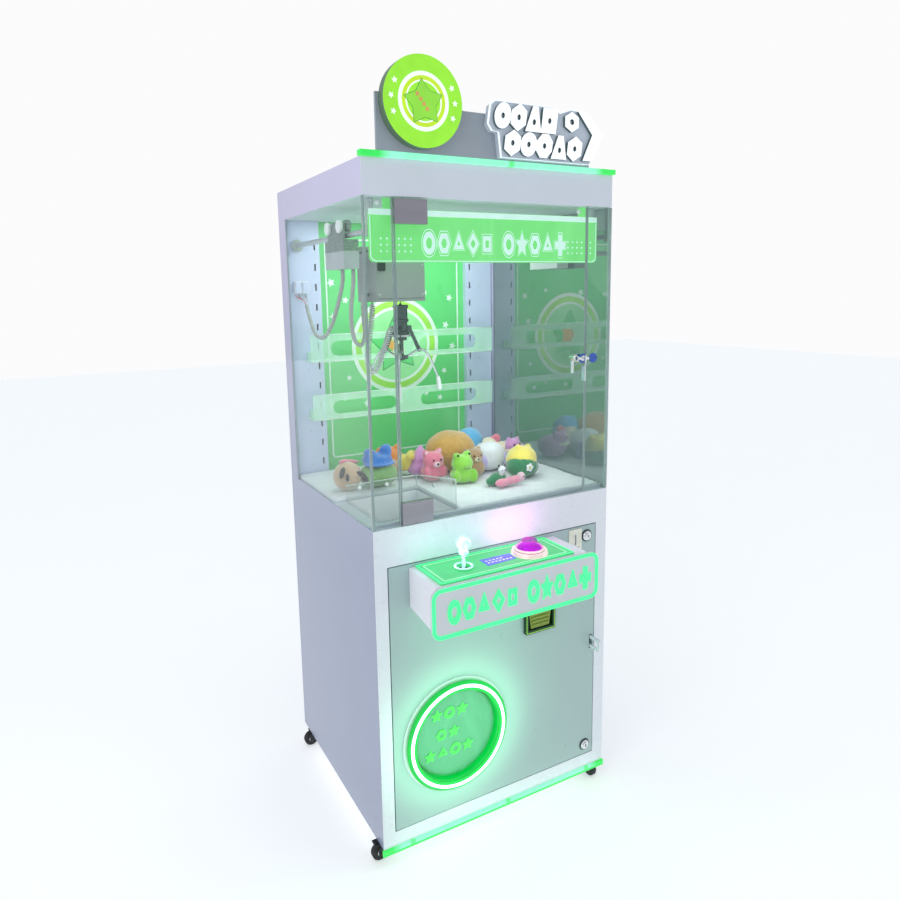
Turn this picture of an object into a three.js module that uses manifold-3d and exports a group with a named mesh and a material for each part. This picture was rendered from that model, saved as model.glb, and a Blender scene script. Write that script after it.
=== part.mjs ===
// Claw crane machine: a glazed prize cabinet on casters with a three-finger crane inside.
// Millimetres, +Z up, front faces -Y. The layout is drawn about the cabinet's centre plane and
// floor, and the whole machine is then moved so that its footprint is centred on the origin.

import * as THREE from 'three';
import { mergeVertices } from 'three/addons/utils/BufferGeometryUtils.js';
import Module from 'manifold-3d';

const wasm = await Module();
wasm.setup();

// ---- Driving dimensions -------------------------------------------------------------------

const WIDTH = 800;              // cabinet, without the light strips
const DEPTH = 708;              // cabinet, without the console
const FLOOR_Z = 62;             // underside of the cabinet
const DECK_Z = 1003;            // top of the play deck
const CEILING_Z = 1860;         // underside of the header
const ROOF_Z = 1952;            // top of the header
const SHEET = 2.2;              // steel sheet
const GLASS = 5;                // toughened glass
const ACRYLIC = 3;              // chute, banner and display acrylic
const GAP = 0.3;                // between neighbouring pieces

const X_SIDE = WIDTH / 2;
const Y_FRONT = -DEPTH / 2;
const Y_BACK = DEPTH / 2;
const STRIP_X = X_SIDE + 4;     // light strips stand a little proud of the sides
const CONSOLE_FRONT = -526;     // front face of the console fascia

const DOOR = { x0: -360, x1: 356, z0: 109, z1: 894, reveal: 3 };
const GLASS_DOOR = { x0: -314, x1: 306, z0: 1007, z1: 1856, pivotX: -300, lockX: 267, lockZ: 1423 };
const STRIP_LEFT = -318;        // inner edge of the fixed front strip of the left glazing
const STRIP_RIGHT = 308;        // inner edge of the fixed front strip of the right glazing
const POST = { inner: 283, face: 300, slots: 12, pitch: 66 };
const CHUTE = { x0: -356, x1: -116, y0: -303, y1: -48, rear: 1050, front: 1093 };
const BIN = { x1: -10, y0: -333, z0: 202, z1: 505, rise: 57 };
const RING = { x: -160, z: 349, bore: 138, r: 172 };
const FLAP = { r: 133, hingeZ: 477 };
const CONSOLE = { x0: -299, x1: 190, z0: 752, z1: 884, front: -516 };
const STICK = { x: -175, y: -437, pivotZ: 860, tip: 957 };
const BUTTON = { x: 40, y: -440, r: 42 };
const COIN_RETURN = { x0: 81, x1: 193, z0: 592, z1: 700 };
const LOCKS = { upper: [321, 861], lower: [324, 143] };

const RAIL = { x: 360, z: 1780, r: 8 };
const CROSS_ROD = { z: 1742, r: 6, y: [-140, -60] };
const CRANE_BOX = { x0: -285, x1: -135, y0: -170, y1: -29, z0: 1598, z1: 1722 };
const CLAW = { x: -198, y: -135, top: 1588 };
const DRUM = { r: 20, z: 1650 };
const FINGERS = 3;
const HUB = { r: 14, z: 1436 };      // finger pivots on the plunger's hub
const SHOULDER = { r: 27, z: 1520 }; // link pivots on the coil housing
const ELBOW = { r: 58, z: 1455 };    // where a link meets its finger

const CASTER = { x: 372, y: 306, trail: 22, wheelR: 25, wheelW: 20, padX: 25, padY: 32 };

// ---- Colours ------------------------------------------------------------------------------

const surface = (color, roughness = 0.45, metalness = 0) =>
  new THREE.MeshStandardMaterial({ color, roughness, metalness });
const clear = (color, opacity, roughness = 0.08) =>
  new THREE.MeshStandardMaterial({ color, roughness, transparent: true, opacity });
const lit = (color) => new THREE.MeshStandardMaterial({ color, emissive: color, roughness: 0.35 });

const WHITE = 0xe9e6f3;
const STEEL_GREY = 0x8a949a;
const LIME = 0x7ee63a;
const LED_GREEN = 0x3dff9c;

// ---- Shape helpers ------------------------------------------------------------------------

function signedVolume(geometry) {
  const p = geometry.attributes.position;
  const index = geometry.index;
  const [a, b, c] = [new THREE.Vector3(), new THREE.Vector3(), new THREE.Vector3()];
  let sum = 0;
  for (let i = 0; i < index.count; i += 3) {
    a.fromBufferAttribute(p, index.getX(i));
    b.fromBufferAttribute(p, index.getX(i + 1));
    c.fromBufferAttribute(p, index.getX(i + 2));
    sum += a.dot(b.cross(c));
  }
  return sum;
}

// Welds a geometry into one closed skin with its faces pointing out.
function weld(geometry) {
  const bare = geometry.clone();
  bare.deleteAttribute('normal');
  bare.deleteAttribute('uv');
  const merged = mergeVertices(bare, 1e-4);
  if (signedVolume(merged) < 0) {
    merged.setIndex(Array.from(merged.index.array).reverse());
  }
  return merged;
}

function toSolid(geometry) {
  const g = weld(geometry);
  const vertProperties = new Float32Array(g.attributes.position.array);
  const triVerts = new Uint32Array(g.index.array);
  return new wasm.Manifold(new wasm.Mesh({ numProp: 3, vertProperties, triVerts }));
}

function toGeometry(solid) {
  const mesh = solid.getMesh();
  const geometry = new THREE.BufferGeometry();
  geometry.setAttribute('position', new THREE.BufferAttribute(new Float32Array(mesh.vertProperties), 3));
  geometry.setIndex(new THREE.BufferAttribute(new Uint32Array(mesh.triVerts), 1));
  return geometry;
}

function fuse(...pieces) {
  return toGeometry(pieces.map(toSolid).reduce((sum, piece) => sum.add(piece)));
}

function cut(body, ...tools) {
  return toGeometry(tools.map(toSolid).reduce((rest, tool) => rest.subtract(tool), toSolid(body)));
}

function box(x0, x1, y0, y1, z0, z1) {
  return new THREE.BoxGeometry(x1 - x0, y1 - y0, z1 - z0)
    .translate((x0 + x1) / 2, (y0 + y1) / 2, (z0 + z1) / 2);
}

// A round bar between two points, with its own end radius where it tapers.
function bar(from, to, radius, sides = 16, endRadius = radius) {
  const a = new THREE.Vector3(...from);
  const b = new THREE.Vector3(...to);
  const along = b.clone().sub(a);
  const up = new THREE.Vector3(0, 1, 0);
  const turn = new THREE.Quaternion().setFromUnitVectors(up, along.clone().normalize());
  return new THREE.CylinderGeometry(endRadius, radius, along.length(), sides)
    .applyQuaternion(turn)
    .translate(...a.add(b).multiplyScalar(0.5).toArray());
}

// Revolves [radius, height] points about an axis through a place, along X, Y or Z.
function turned(profile, place, along = 'z', segments = 32) {
  const points = profile.map(([r, h]) => new THREE.Vector2(r, h));
  const g = new THREE.LatheGeometry(points, segments);
  if (along === 'z') g.rotateX(Math.PI / 2);
  if (along === 'x') g.rotateZ(-Math.PI / 2);
  if (along === '-y') g.rotateX(Math.PI);
  return g.translate(...place);
}

function outline(points) {
  return new THREE.Shape(points.map(([u, v]) => new THREE.Vector2(u, v)));
}

function roundedRect(u0, u1, v0, v1, r, Kind = THREE.Shape) {
  const s = new Kind();
  s.moveTo(u0 + r, v0);
  s.lineTo(u1 - r, v0);
  s.absarc(u1 - r, v0 + r, r, -Math.PI / 2, 0);
  s.lineTo(u1, v1 - r);
  s.absarc(u1 - r, v1 - r, r, 0, Math.PI / 2);
  s.lineTo(u0 + r, v1);
  s.absarc(u0 + r, v1 - r, r, Math.PI / 2, Math.PI);
  s.lineTo(u0, v0 + r);
  s.absarc(u0 + r, v0 + r, r, Math.PI, Math.PI * 1.5);
  s.closePath();
  return s;
}

const rectangle = (u0, u1, v0, v1) => outline([[u0, v0], [u1, v0], [u1, v1], [u0, v1]]);
const rectHole = (u0, u1, v0, v1, r) => roundedRect(u0, u1, v0, v1, r, THREE.Path);

function roundHole(u, v, r, sides = 16) {
  return new THREE.Path(Array.from({ length: sides }, (_, i) => {
    const a = -2 * Math.PI * i / sides;
    return new THREE.Vector2(u + r * Math.cos(a), v + r * Math.sin(a));
  }));
}

function withHoles(shape, ...holes) {
  shape.holes.push(...holes);
  return shape;
}

const extrude = (shape, depth, curveSegments) =>
  new THREE.ExtrudeGeometry(shape, { depth, bevelEnabled: false, curveSegments });

// Plates drawn in plan (x, y), in elevation (x, z) and in side view (y, z).
const planPlate = (shape, z0, z1, arcs = 2) => extrude(shape, z1 - z0, arcs).translate(0, 0, z0);
const frontPlate = (shape, y0, y1, arcs = 2) =>
  extrude(shape, y1 - y0, arcs).rotateX(Math.PI / 2).translate(0, y1, 0);
const SIDE_VIEW = new THREE.Matrix4().makeBasis(
  new THREE.Vector3(0, 1, 0), new THREE.Vector3(0, 0, 1), new THREE.Vector3(1, 0, 0));
const sidePlate = (shape, x0, x1, arcs = 2) =>
  extrude(shape, x1 - x0, arcs).applyMatrix4(SIDE_VIEW).translate(x0, 0, 0);

// A cord laid along a smooth curve through hand-placed points.
function cord(points, radius, sides, steps) {
  const path = new THREE.CatmullRomCurve3(points.map((p) => new THREE.Vector3(...p)), false, 'centripetal');
  const section = new THREE.Shape();
  section.absarc(0, 0, radius, 0, Math.PI * 2);
  return new THREE.ExtrudeGeometry(section, {
    steps, extrudePath: path, bevelEnabled: false, curveSegments: sides / 2,
  });
}

const mirrorX = (geometry) => weld(geometry.clone().scale(-1, 1, 1));

// ---- The machine's scene graph ------------------------------------------------------------

const machine = new THREE.Group();
machine.position.y = -(CONSOLE_FRONT + Y_BACK) / 2;

function place(name, geometry, material, parent = machine) {
  const mesh = new THREE.Mesh(weld(geometry), material);
  mesh.name = name;
  parent.add(mesh);
  return mesh;
}

// ---- Cabinet ------------------------------------------------------------------------------

// Floor pan, front surround of the service door, caster pads and the padlock hasp in one weldment.
function baseFrame() {
  const r = DOOR.reveal;
  const opening = [DOOR.x0 - r, DOOR.x1 + r, DOOR.z0 - r, DOOR.z1 + r];
  const surround = rectangle(-X_SIDE, X_SIDE, FLOOR_Z, DECK_Z + GAP);
  const lining = rectangle(opening[0] - SHEET, opening[1] + SHEET, opening[2] - SHEET, opening[3] + SHEET);
  const hasp = roundedRect(-399, -329, 480, 520, 9);
  return fuse(
    frontPlate(withHoles(surround, rectangle(...opening)), Y_FRONT, Y_FRONT + 3),
    frontPlate(withHoles(lining, rectangle(...opening)), Y_FRONT + 2, Y_FRONT + 23),
    box(-397.5, 397.5, Y_FRONT + 1, Y_BACK - 3.5, FLOOR_Z, FLOOR_Z + 4),
    box(338, 360.5, -333, -329, 478, 522),
    sidePlate(withHoles(hasp, rectHole(-390, -338, 489, 511, 5)), 341, 349),
    ...[-CASTER.x, CASTER.x].flatMap((x) => [-CASTER.y, CASTER.y].map((y) =>
      box(x - CASTER.padX, x + CASTER.padX, y - CASTER.padY, y + CASTER.padY, FLOOR_Z - 3.5, FLOOR_Z + 1))),
  );
}

// Two C-shaped side panels and the back panel, folded from one wrap of sheet.
function cabinetShell() {
  const front = Y_FRONT + 3 + GAP;
  const side = outline([
    [front, FLOOR_Z], [Y_BACK, FLOOR_Z], [Y_BACK, ROOF_Z], [front, ROOF_Z],
    [front, CEILING_Z + GAP], [285, CEILING_Z + GAP], [285, DECK_Z + 1], [front, DECK_Z + 1],
  ]);
  const left = sidePlate(side, -X_SIDE, -X_SIDE + SHEET);
  const vents = [0, 1, 2, 3, 4].map((i) => rectHole(60, 200, 260 + i * 26, 270 + i * 26, 4.9));
  const inlet = rectHole(-274.5, -225.5, 155.5, 184.5, 0.4);
  const sheet = rectangle(-X_SIDE + 1, X_SIDE - 1, FLOOR_Z + 1, ROOF_Z - 1);
  const back = frontPlate(withHoles(sheet, inlet, ...vents), Y_BACK - 2.8, Y_BACK - 0.5, 1);
  return fuse(left, mirrorX(left), back);
}

function playDeck() {
  const gap = 1.5;
  const plate = roundedRect(-397.3, 397.3, Y_FRONT + 3.7, Y_BACK - 3.3, 1);
  const hole = rectHole(CHUTE.x0 - gap, CHUTE.x1 + gap, CHUTE.y0 - gap, CHUTE.y1 + gap, 2);
  return fuse(
    planPlate(withHoles(plate, hole), DECK_Z - 4, DECK_Z, 2),
    box(-393, 393, -333, -321, DECK_Z - 1, DECK_Z + 9),
  );
}

function headerHousing() {
  return fuse(
    cut(
      box(-397.3, 397.3, Y_FRONT + 2, Y_BACK - 3.1, CEILING_Z + GAP, ROOF_Z),
      box(-X_SIDE, X_SIDE, Y_FRONT + 6, Y_BACK - 6, CEILING_Z + 3, ROOF_Z - 2.5),
    ),
    box(-X_SIDE, X_SIDE, Y_FRONT, Y_FRONT + 3, CEILING_Z + GAP, ROOF_Z),
  );
}

// Slotted posts either side of the display panel, joined behind it, with the harness sockets.
function rearFrame() {
  const z0 = DECK_Z + 0.4;
  const z1 = CEILING_Z - 0.1;
  const { inner, face, slots, pitch } = POST;
  const slotX = -inner - 17;
  const holes = Array.from({ length: slots }, (_, i) =>
    rectangle(slotX - 3, slotX + 3, 1040 + i * pitch, 1062 + i * pitch));
  const post = fuse(
    frontPlate(withHoles(roundedRect(-394, -inner, z0, z1, 1), ...holes), face, face + 3, 1),
    box(-inner - SHEET, -inner, face + 2, Y_BACK - 5, z0, z1),
    box(-394, -394 + SHEET, face + 2, Y_BACK - 5, z0, z1),
  );
  return fuse(
    post,
    mirrorX(post),
    box(-inner - 1, inner + 1, 330, 333, z0, z0 + 30),
    box(-inner - 1, inner + 1, 330, 333, z1 - 34, z1),
    box(-374, -356, 282, face + 1, 1628, 1662),
    box(-350, -332, 282, face + 1, 1628, 1662),
  );
}

function displayPanel() {
  return box(-POST.inner + GAP, POST.inner - GAP, 320, 320 + ACRYLIC, DECK_Z + 0.4, CEILING_Z - 0.1);
}

function lightStrip(y0, deep, z0, z1) {
  return planPlate(roundedRect(-STRIP_X, STRIP_X, y0, y0 + deep, 3), z0, z1);
}

// ---- Glazing ------------------------------------------------------------------------------

// A side pane bonded edge to edge with the fixed strip beside the glass door.
function cornerGlazing(inner) {
  const side = Math.sign(inner);
  const out = X_SIDE - 0.5;
  const points = [
    [out, Y_FRONT], [out, 283], [out - GLASS, 283], [out - GLASS, Y_FRONT + GLASS],
    [Math.abs(inner), Y_FRONT + GLASS], [Math.abs(inner), Y_FRONT],
  ].map(([x, y]) => [side * x, y]);
  return planPlate(outline(points), DECK_Z + 1.5, CEILING_Z - 0.2);
}

// The pane with its two clamped patch plates and the pivots above and below.
function glassDoor() {
  const d = GLASS_DOOR;
  const y = Y_FRONT + GLASS / 2;
  const pane = withHoles(roundedRect(d.x0, d.x1, d.z0, d.z1, 1), roundHole(d.lockX, d.lockZ, 9.2));
  const patch = (z) => box(d.x0, d.x0 + 92, y - 6.5, y + 6.5, z, z + 61);
  return fuse(
    frontPlate(pane, Y_FRONT, Y_FRONT + GLASS, 1),
    patch(d.z0),
    patch(d.z1 - 61),
    bar([d.pivotX, y, DECK_Z + 0.8], [d.pivotX, y, d.z0 + 4], 5, 12),
    bar([d.pivotX, y, d.z1 - 4], [d.pivotX, y, CEILING_Z - 0.1], 5, 12),
  );
}

// Barrel lock through the pane with its cam, the key in it and a second key on the ring.
function glassDoorLock() {
  const { lockX: x, lockZ: z } = GLASS_DOOR;
  const ring = new THREE.TorusGeometry(12, 1.3, 5, 14).rotateY(Math.PI / 2).translate(x, -391, z - 12);
  return fuse(
    turned([[0, 0], [8.8, 0], [8.8, 16.2], [13, 16.2], [13, 28], [11, 31], [0, 31]], [x, -338, z], '-y', 20),
    box(x - 5, x + 5, -343, -340, z - 48, z + 6),
    box(x - 1.2, x + 1.2, -388, -367, z - 4, z + 4),
    box(x - 2, x + 2, -404, -386, z - 10, z + 10),
    ring,
    box(x - 1.5, x + 1.5, -401, -387, z - 66, z - 22),
  );
}

function bannerPanel() {
  return fuse(
    frontPlate(roundedRect(-371, 371, 1700, 1834, 14), -322, -322 + ACRYLIC),
    ...[-1, 1].map((s) => box(s * 315 - 15, s * 315 + 15, -322, -322 + ACRYLIC, 1830, CEILING_Z - 0.1)),
  );
}

// ---- Rear shelves -------------------------------------------------------------------------

// A clear tray with an upright lip at the front, pierced by two long rounded windows.
function shelf(z, height, y) {
  const window = (x) => rectHole(x - 118, x + 118, z + 18, z + height - 22, (height - 40) / 2 - 1);
  const lip = withHoles(rectangle(-352, 352, z, z + height), window(-165), window(165));
  return fuse(
    frontPlate(lip, y, y + 4, 1),
    box(-350, 350, y + 2, 296, z, z + 4),
    ...[-330, 330].map((x) => box(x - 12, x + 12, 288, 299.6, z, z + 30)),
  );
}

// ---- Prize chute, mat and stock -----------------------------------------------------------

// Clear guard above the deck, duct down through it, and a wide bin with a sloping floor behind
// the prize door.
function prizeChute() {
  const { x0, x1, y0, y1, rear, front } = CHUTE;
  const t = ACRYLIC;
  const lower = BIN.z1 - 35;
  const binSide = (inset) => outline([
    [inset ? BIN.y0 - 5 : BIN.y0, BIN.z0 + inset], [y1 - inset, BIN.z0 + BIN.rise + inset],
    [y1 - inset, BIN.z1 - inset], [inset ? BIN.y0 - 5 : BIN.y0, BIN.z1 - inset],
  ]);
  const guard = outline([[y0, lower], [y1, lower], [y1, rear], [y0, front]]);
  return cut(
    fuse(sidePlate(guard, x0, x1), sidePlate(binSide(0), x0, BIN.x1)),
    box(x0 + t, x1 - t, y0 + t, y1 - t, lower - 10, front + 10),
    sidePlate(binSide(t), x0 + t, BIN.x1 - t),
    box(x0 - 5, x0 + t + 0.1, y0 - 5, y1 - t, DECK_Z + 7, front + 10),
    box(x0 - 5, x1 - t, y0 - 5, y0 + t + 0.1, DECK_Z + 7, front + 10),
  );
}

function prizeMat() {
  const edge = 4;
  return planPlate(outline([
    [-391, CHUTE.y1 + edge], [CHUTE.x1 + edge, CHUTE.y1 + edge], [CHUTE.x1 + edge, -318],
    [391, -318], [391, POST.face - 3], [-391, POST.face - 3],
  ]), DECK_Z + 0.4, DECK_Z + 12);
}

// Plush prizes as one soft lump: each toy is an egg [x, y, rx, ry, rz] resting on the mat.
const PRIZES = [
  [-322, 22, 56, 50, 56], [-222, 28, 70, 58, 74], [-142, 118, 62, 56, 62], [-58, 56, 58, 52, 52],
  [-46, -26, 50, 46, 56], [20, -100, 46, 44, 58], [84, -70, 52, 50, 56], [66, 62, 88, 76, 84],
  [176, 118, 58, 56, 72], [186, 0, 70, 64, 62], [122, -190, 62, 54, 60], [228, -140, 62, 58, 60],
  [296, 40, 62, 66, 58],
];

function prizePile() {
  const base = DECK_Z + 12.3;
  const eggs = PRIZES.map(([x, y, rx, ry, rz]) =>
    new THREE.IcosahedronGeometry(1, 1).scale(rx, ry, rz).translate(x, y, base + rz * 0.86));
  const bed = planPlate(outline([
    [-352, -22], [-90, -26], [-90, -100], [90, -230], [270, -190], [340, 90], [-180, 160], [-352, 80],
  ]), base, base + 22);
  return cut(fuse(bed, ...eggs), box(-X_SIDE, X_SIDE, Y_FRONT, Y_BACK, base - 40, base));
}

// ---- Signs on the roof --------------------------------------------------------------------

const SIGN = { front: -390, board: -362, z: ROOF_Z + 14 + GAP };
const ROUNDEL = { x: -243, z: 2083, r: 109 };

function signBoard() {
  const { board, z } = SIGN;
  const points = [[-360, z], [303, z], [303, 2080], [-113, 2080], [-160, 2102], [-360, 2102]];
  return frontPlate(outline(points), board, board + 8);
}

function roundel() {
  const { r, x, z } = ROUNDEL;
  const deep = SIGN.board - SIGN.front - GAP;
  const profile = [[0, 0], [r, 0], [r, deep], [r - 5, deep], [r - 5, deep - 3], [0, deep - 3]];
  return turned(profile, [x, SIGN.board - GAP, z], '-y', 40);
}

// Two staggered bars with a pointed end, cut as one thick block.
function marqueeSign() {
  const z = SIGN.z + 3;
  const points = [
    [-52, 2050], [-44, 2098], [-32, 2107], [152, 2107], [176, 2094], [214, 2107], [262, 2104],
    [320, 2046], [280, z], [-12, z], [-20, 2032], [-40, 2034],
  ];
  return frontPlate(outline(points), SIGN.front, SIGN.board - GAP);
}

// ---- Crane --------------------------------------------------------------------------------

function runwayFrame() {
  const { x, z, r } = RAIL;
  const rail = (s) => [
    bar([s * x, -305, z], [s * x, POST.face - GAP, z], r, 16),
    bar([s * x, POST.face - 10, z], [s * x, POST.face - GAP, z], 20, 16),
    box(s * x - 8, s * x + 8, -312, -300, z + 4, CEILING_Z - 0.1),
  ];
  return fuse(box(-370, 370, -312, -300, z - 16, z + 16), ...rail(-1), ...rail(1));
}

// End trucks hanging below the rails on grooved rollers, joined by two cross rods.
function bridge() {
  const truck = (s) => {
    const side = (a, b) => [Math.min(s * a, s * b), Math.max(s * a, s * b)];
    return [
      box(...side(338, 382), -175, -30, 1690, 1768),
      box(...side(372, 378), -165, -45, 1760, 1814),
      ...[-150, -60].flatMap((y) => [
        bar([s * 376, y, 1805], [s * 350, y, 1805], 4, 8),
        bar([s * 367, y, 1805], [s * 353, y, 1805], 16, 16),
      ]),
    ];
  };
  const rods = CROSS_ROD.y.map((y) => bar([-340, y, CROSS_ROD.z], [340, y, CROSS_ROD.z], CROSS_ROD.r, 12));
  return fuse(...truck(-1), ...truck(1), ...rods);
}

// Open-topped cover with the rod bearings above and the winch brackets inside.
function trolley() {
  const { x0, x1, y0, y1, z0, z1 } = CRANE_BOX;
  const bearings = CROSS_ROD.y.map((y) => box(x0, x1, y - 12, y + 12, z1 - 6, CROSS_ROD.z + 14));
  const brackets = [CLAW.x - 31, CLAW.x + 28].map((x) => box(x, x + 3, -140, -90, z0 + 1, DRUM.z + 20));
  const cover = cut(box(x0, x1, y0, y1, z0, z1), box(x0 + 2, x1 - 2, y0 + 2, y1 - 2, z0 + 2, z1 + 5));
  return cut(
    fuse(cover, ...bearings, ...brackets),
    ...CROSS_ROD.y.map((y) => bar([x0 - 5, y, CROSS_ROD.z], [x1 + 5, y, CROSS_ROD.z], CROSS_ROD.r + 0.6, 12)),
    bar([CLAW.x - 40, CLAW.y + DRUM.r, DRUM.z], [CLAW.x + 40, CLAW.y + DRUM.r, DRUM.z], 4.4, 12),
    bar([CLAW.x, CLAW.y, z0 - 5], [CLAW.x, CLAW.y, z0 + 5], 8, 16),
  );
}

function hoistDrum() {
  const core = DRUM.r - 1.8;
  const profile = [
    [0, -35], [4, -35], [4, -27], [26, -27], [26, -24], [core, -24], [core, 24], [26, 24], [26, 27],
    [4, 27], [4, 35], [0, 35],
  ];
  return turned(profile, [CLAW.x, CLAW.y + DRUM.r, DRUM.z], 'x', 16);
}

function hoistCord() {
  return bar([CLAW.x, CLAW.y - 0.2, CLAW.top + 4.3], [CLAW.x, CLAW.y - 0.2, DRUM.z], 1.5, 8);
}

// Coil housing with its collars, bored from below for the plunger, with slots for the links.
function clawHead() {
  const top = CLAW.top;
  const profile = [
    [7, 1486], [16, 1486], [16, 1500], [24, 1500], [24, 1510], [19, 1512], [19, 1538], [23, 1540],
    [23, 1546], [20, 1548], [20, 1578], [23, 1580], [23, top - 2], [20, top], [4, top], [4, top + 4],
    [0, top + 4], [0, 1548], [7, 1548], [7, 1486],
  ];
  const lug = (i) => {
    const cheek = box(16, 31, 4, 7, 1512, 1528);
    return fuse(cheek, cheek.clone().translate(0, -11, 0)).rotateZ(i * 2 * Math.PI / FINGERS);
  };
  const lugs = Array.from({ length: FINGERS }, (_, i) => lug(i));
  return fuse(turned(profile, [0, 0, 0], 'z', 16), ...lugs).translate(CLAW.x, CLAW.y, 0);
}

function clawPlunger() {
  const rod = bar([0, 0, HUB.z - 4], [0, 0, 1508], 6, 16);
  const hub = bar([0, 0, HUB.z - 9], [0, 0, HUB.z + 6], 9, 18);
  const ears = Array.from({ length: FINGERS }, (_, i) =>
    fuse(box(6, 18, 3.5, 6, HUB.z - 6, HUB.z + 6), box(6, 18, -6, -3.5, HUB.z - 6, HUB.z + 6))
      .rotateZ(i * 2 * Math.PI / FINGERS));
  return fuse(rod, hub, ...ears).translate(CLAW.x, CLAW.y, 0);
}

// One finger, drawn in its own plane (radius, height): a straight lever from the hub to the
// elbow, then a bowed lower finger ending in a rubber tip.
function finger() {
  const tip = { r: 125, z: 1328 };
  const knee = { r: 118, z: 1384 };
  const s = new THREE.Shape();
  s.moveTo(HUB.r - 2, HUB.z - 5);
  s.lineTo(ELBOW.r + 2, ELBOW.z - 6);
  s.quadraticCurveTo(knee.r - 18, ELBOW.z - 26, knee.r - 4, knee.z);
  s.lineTo(tip.r - 5, tip.z + 36);
  s.lineTo(tip.r - 8, tip.z + 34);
  s.lineTo(tip.r - 6, tip.z + 2);
  s.lineTo(tip.r + 1, tip.z);
  s.lineTo(tip.r + 7, tip.z + 4);
  s.lineTo(tip.r + 5, tip.z + 36);
  s.lineTo(tip.r + 1, tip.z + 36);
  s.lineTo(knee.r + 3, knee.z + 2);
  s.quadraticCurveTo(knee.r - 10, ELBOW.z - 12, ELBOW.r + 6, ELBOW.z + 5);
  s.lineTo(ELBOW.r - 2, ELBOW.z + 6);
  s.lineTo(HUB.r - 3, HUB.z + 5);
  s.closePath();
  return frontPlate(s, -2.5, 2.5, 4);
}

// One straight link, drawn beside its finger so that the two pass each other at the elbow.
function link() {
  const along = new THREE.Vector2(ELBOW.r - SHOULDER.r, ELBOW.z - SHOULDER.z);
  const angle = Math.atan2(along.y, along.x);
  const s = roundedRect(-5, along.length() + 6, -5, 5, 4.9);
  const side = extrude(s, 3, 4).rotateX(Math.PI / 2).translate(0, 1.5, 0);
  const jaw = (y) => box(along.length() - 8, along.length() + 5, y - 1, y + 1, -4.5, 4.5);
  return fuse(side, jaw(3.9), jaw(-3.9), box(along.length() - 24, along.length() - 7, -4.9, 4.9, -4, 4))
    .rotateY(-angle)
    .translate(SHOULDER.r, 0, SHOULDER.z);
}

// The elbow end of a finger passes between its link's jaws, so the link stops short of the lever.
function linkClear() {
  const reach = frontPlate(roundedRect(ELBOW.r - 22, ELBOW.r + 30, ELBOW.z - 30, ELBOW.z + 20, 6), -2.9, 2.9);
  return cut(link(), reach);
}

function addClaw() {
  const chrome = surface(0xc9ced4, 0.2, 0.9);
  const dark = surface(0x33443f, 0.4, 0.6);
  place('claw_head', clawHead(), surface(0x56665f, 0.35, 0.6));
  place('claw_plunger', clawPlunger(), dark);
  for (let i = 0; i < FINGERS; i += 1) {
    const arm = new THREE.Group();
    arm.position.set(CLAW.x, CLAW.y, 0);
    arm.rotation.z = i * 2 * Math.PI / FINGERS;
    machine.add(arm);
    place(`finger_${i + 1}`, finger(), chrome, arm);
    place(`link_${i + 1}`, linkClear(), dark, arm);
  }
}

// ---- Harnesses ----------------------------------------------------------------------------

const BRIDGE_HARNESS = [
  [-360, -104, 1688.8], [-360, -103, 1660], [-364, -20, 1540], [-362, 70, 1492], [-358, 150, 1496],
  [-350, 225, 1540], [-342, 284, 1596], [-341, 290, 1626.5],
];
const TROLLEY_HARNESS = [
  [-346, -150, 1688.8], [-347, -150, 1655], [-357, -148, 1560], [-346, -144, 1492], [-327, -138, 1477],
  [-310, -128, 1500], [-308, -118, 1570], [-303, -110, 1608], [-296, -108, 1618], [-286.4, -108, 1618],
];
const CLAW_CORD = [
  [-218.8, -138.6, 1521], [-233, -141, 1518], [-254, -142, 1470], [-276, -138, 1414], [-289, -130, 1398],
  [-297, -119, 1414], [-291, -108, 1470], [-275, -101, 1550], [-272, -100, 1576], [-272, -100, 1596.8],
];

// ---- Front door and console ---------------------------------------------------------------

function serviceDoor() {
  const { x0, x1, z0, z1 } = DOOR;
  const panel = withHoles(
    roundedRect(x0, x1, z0, z1, 2),
    roundHole(RING.x, RING.z, 158.4, 40),
    rectHole(COIN_RETURN.x0 + 5.5, COIN_RETURN.x1 - 5.5, COIN_RETURN.z0 + 5.5, COIN_RETURN.z1 - 5.5, 0.4),
    rectHole(257.5, 292.5, 817.5, 882.5, 0.4),
    rectHole(338.2, 351.8, 476, 524, 4),
    rectHole(-110, 10, 795, 855, 8),
    roundHole(...LOCKS.upper, 11),
    roundHole(...LOCKS.lower, 11),
  );
  const inner = [x0 + 1 + SHEET, x1 - 1 - SHEET, z0 + 1 + SHEET, z1 - 1 - SHEET];
  const rim = withHoles(roundedRect(x0 + 1, x1 - 1, z0 + 1, z1 - 1, 2), rectHole(...inner, 1));
  return fuse(frontPlate(panel, Y_FRONT, Y_FRONT + 3, 1), frontPlate(rim, Y_FRONT + 2, Y_FRONT + 19, 1));
}

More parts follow.
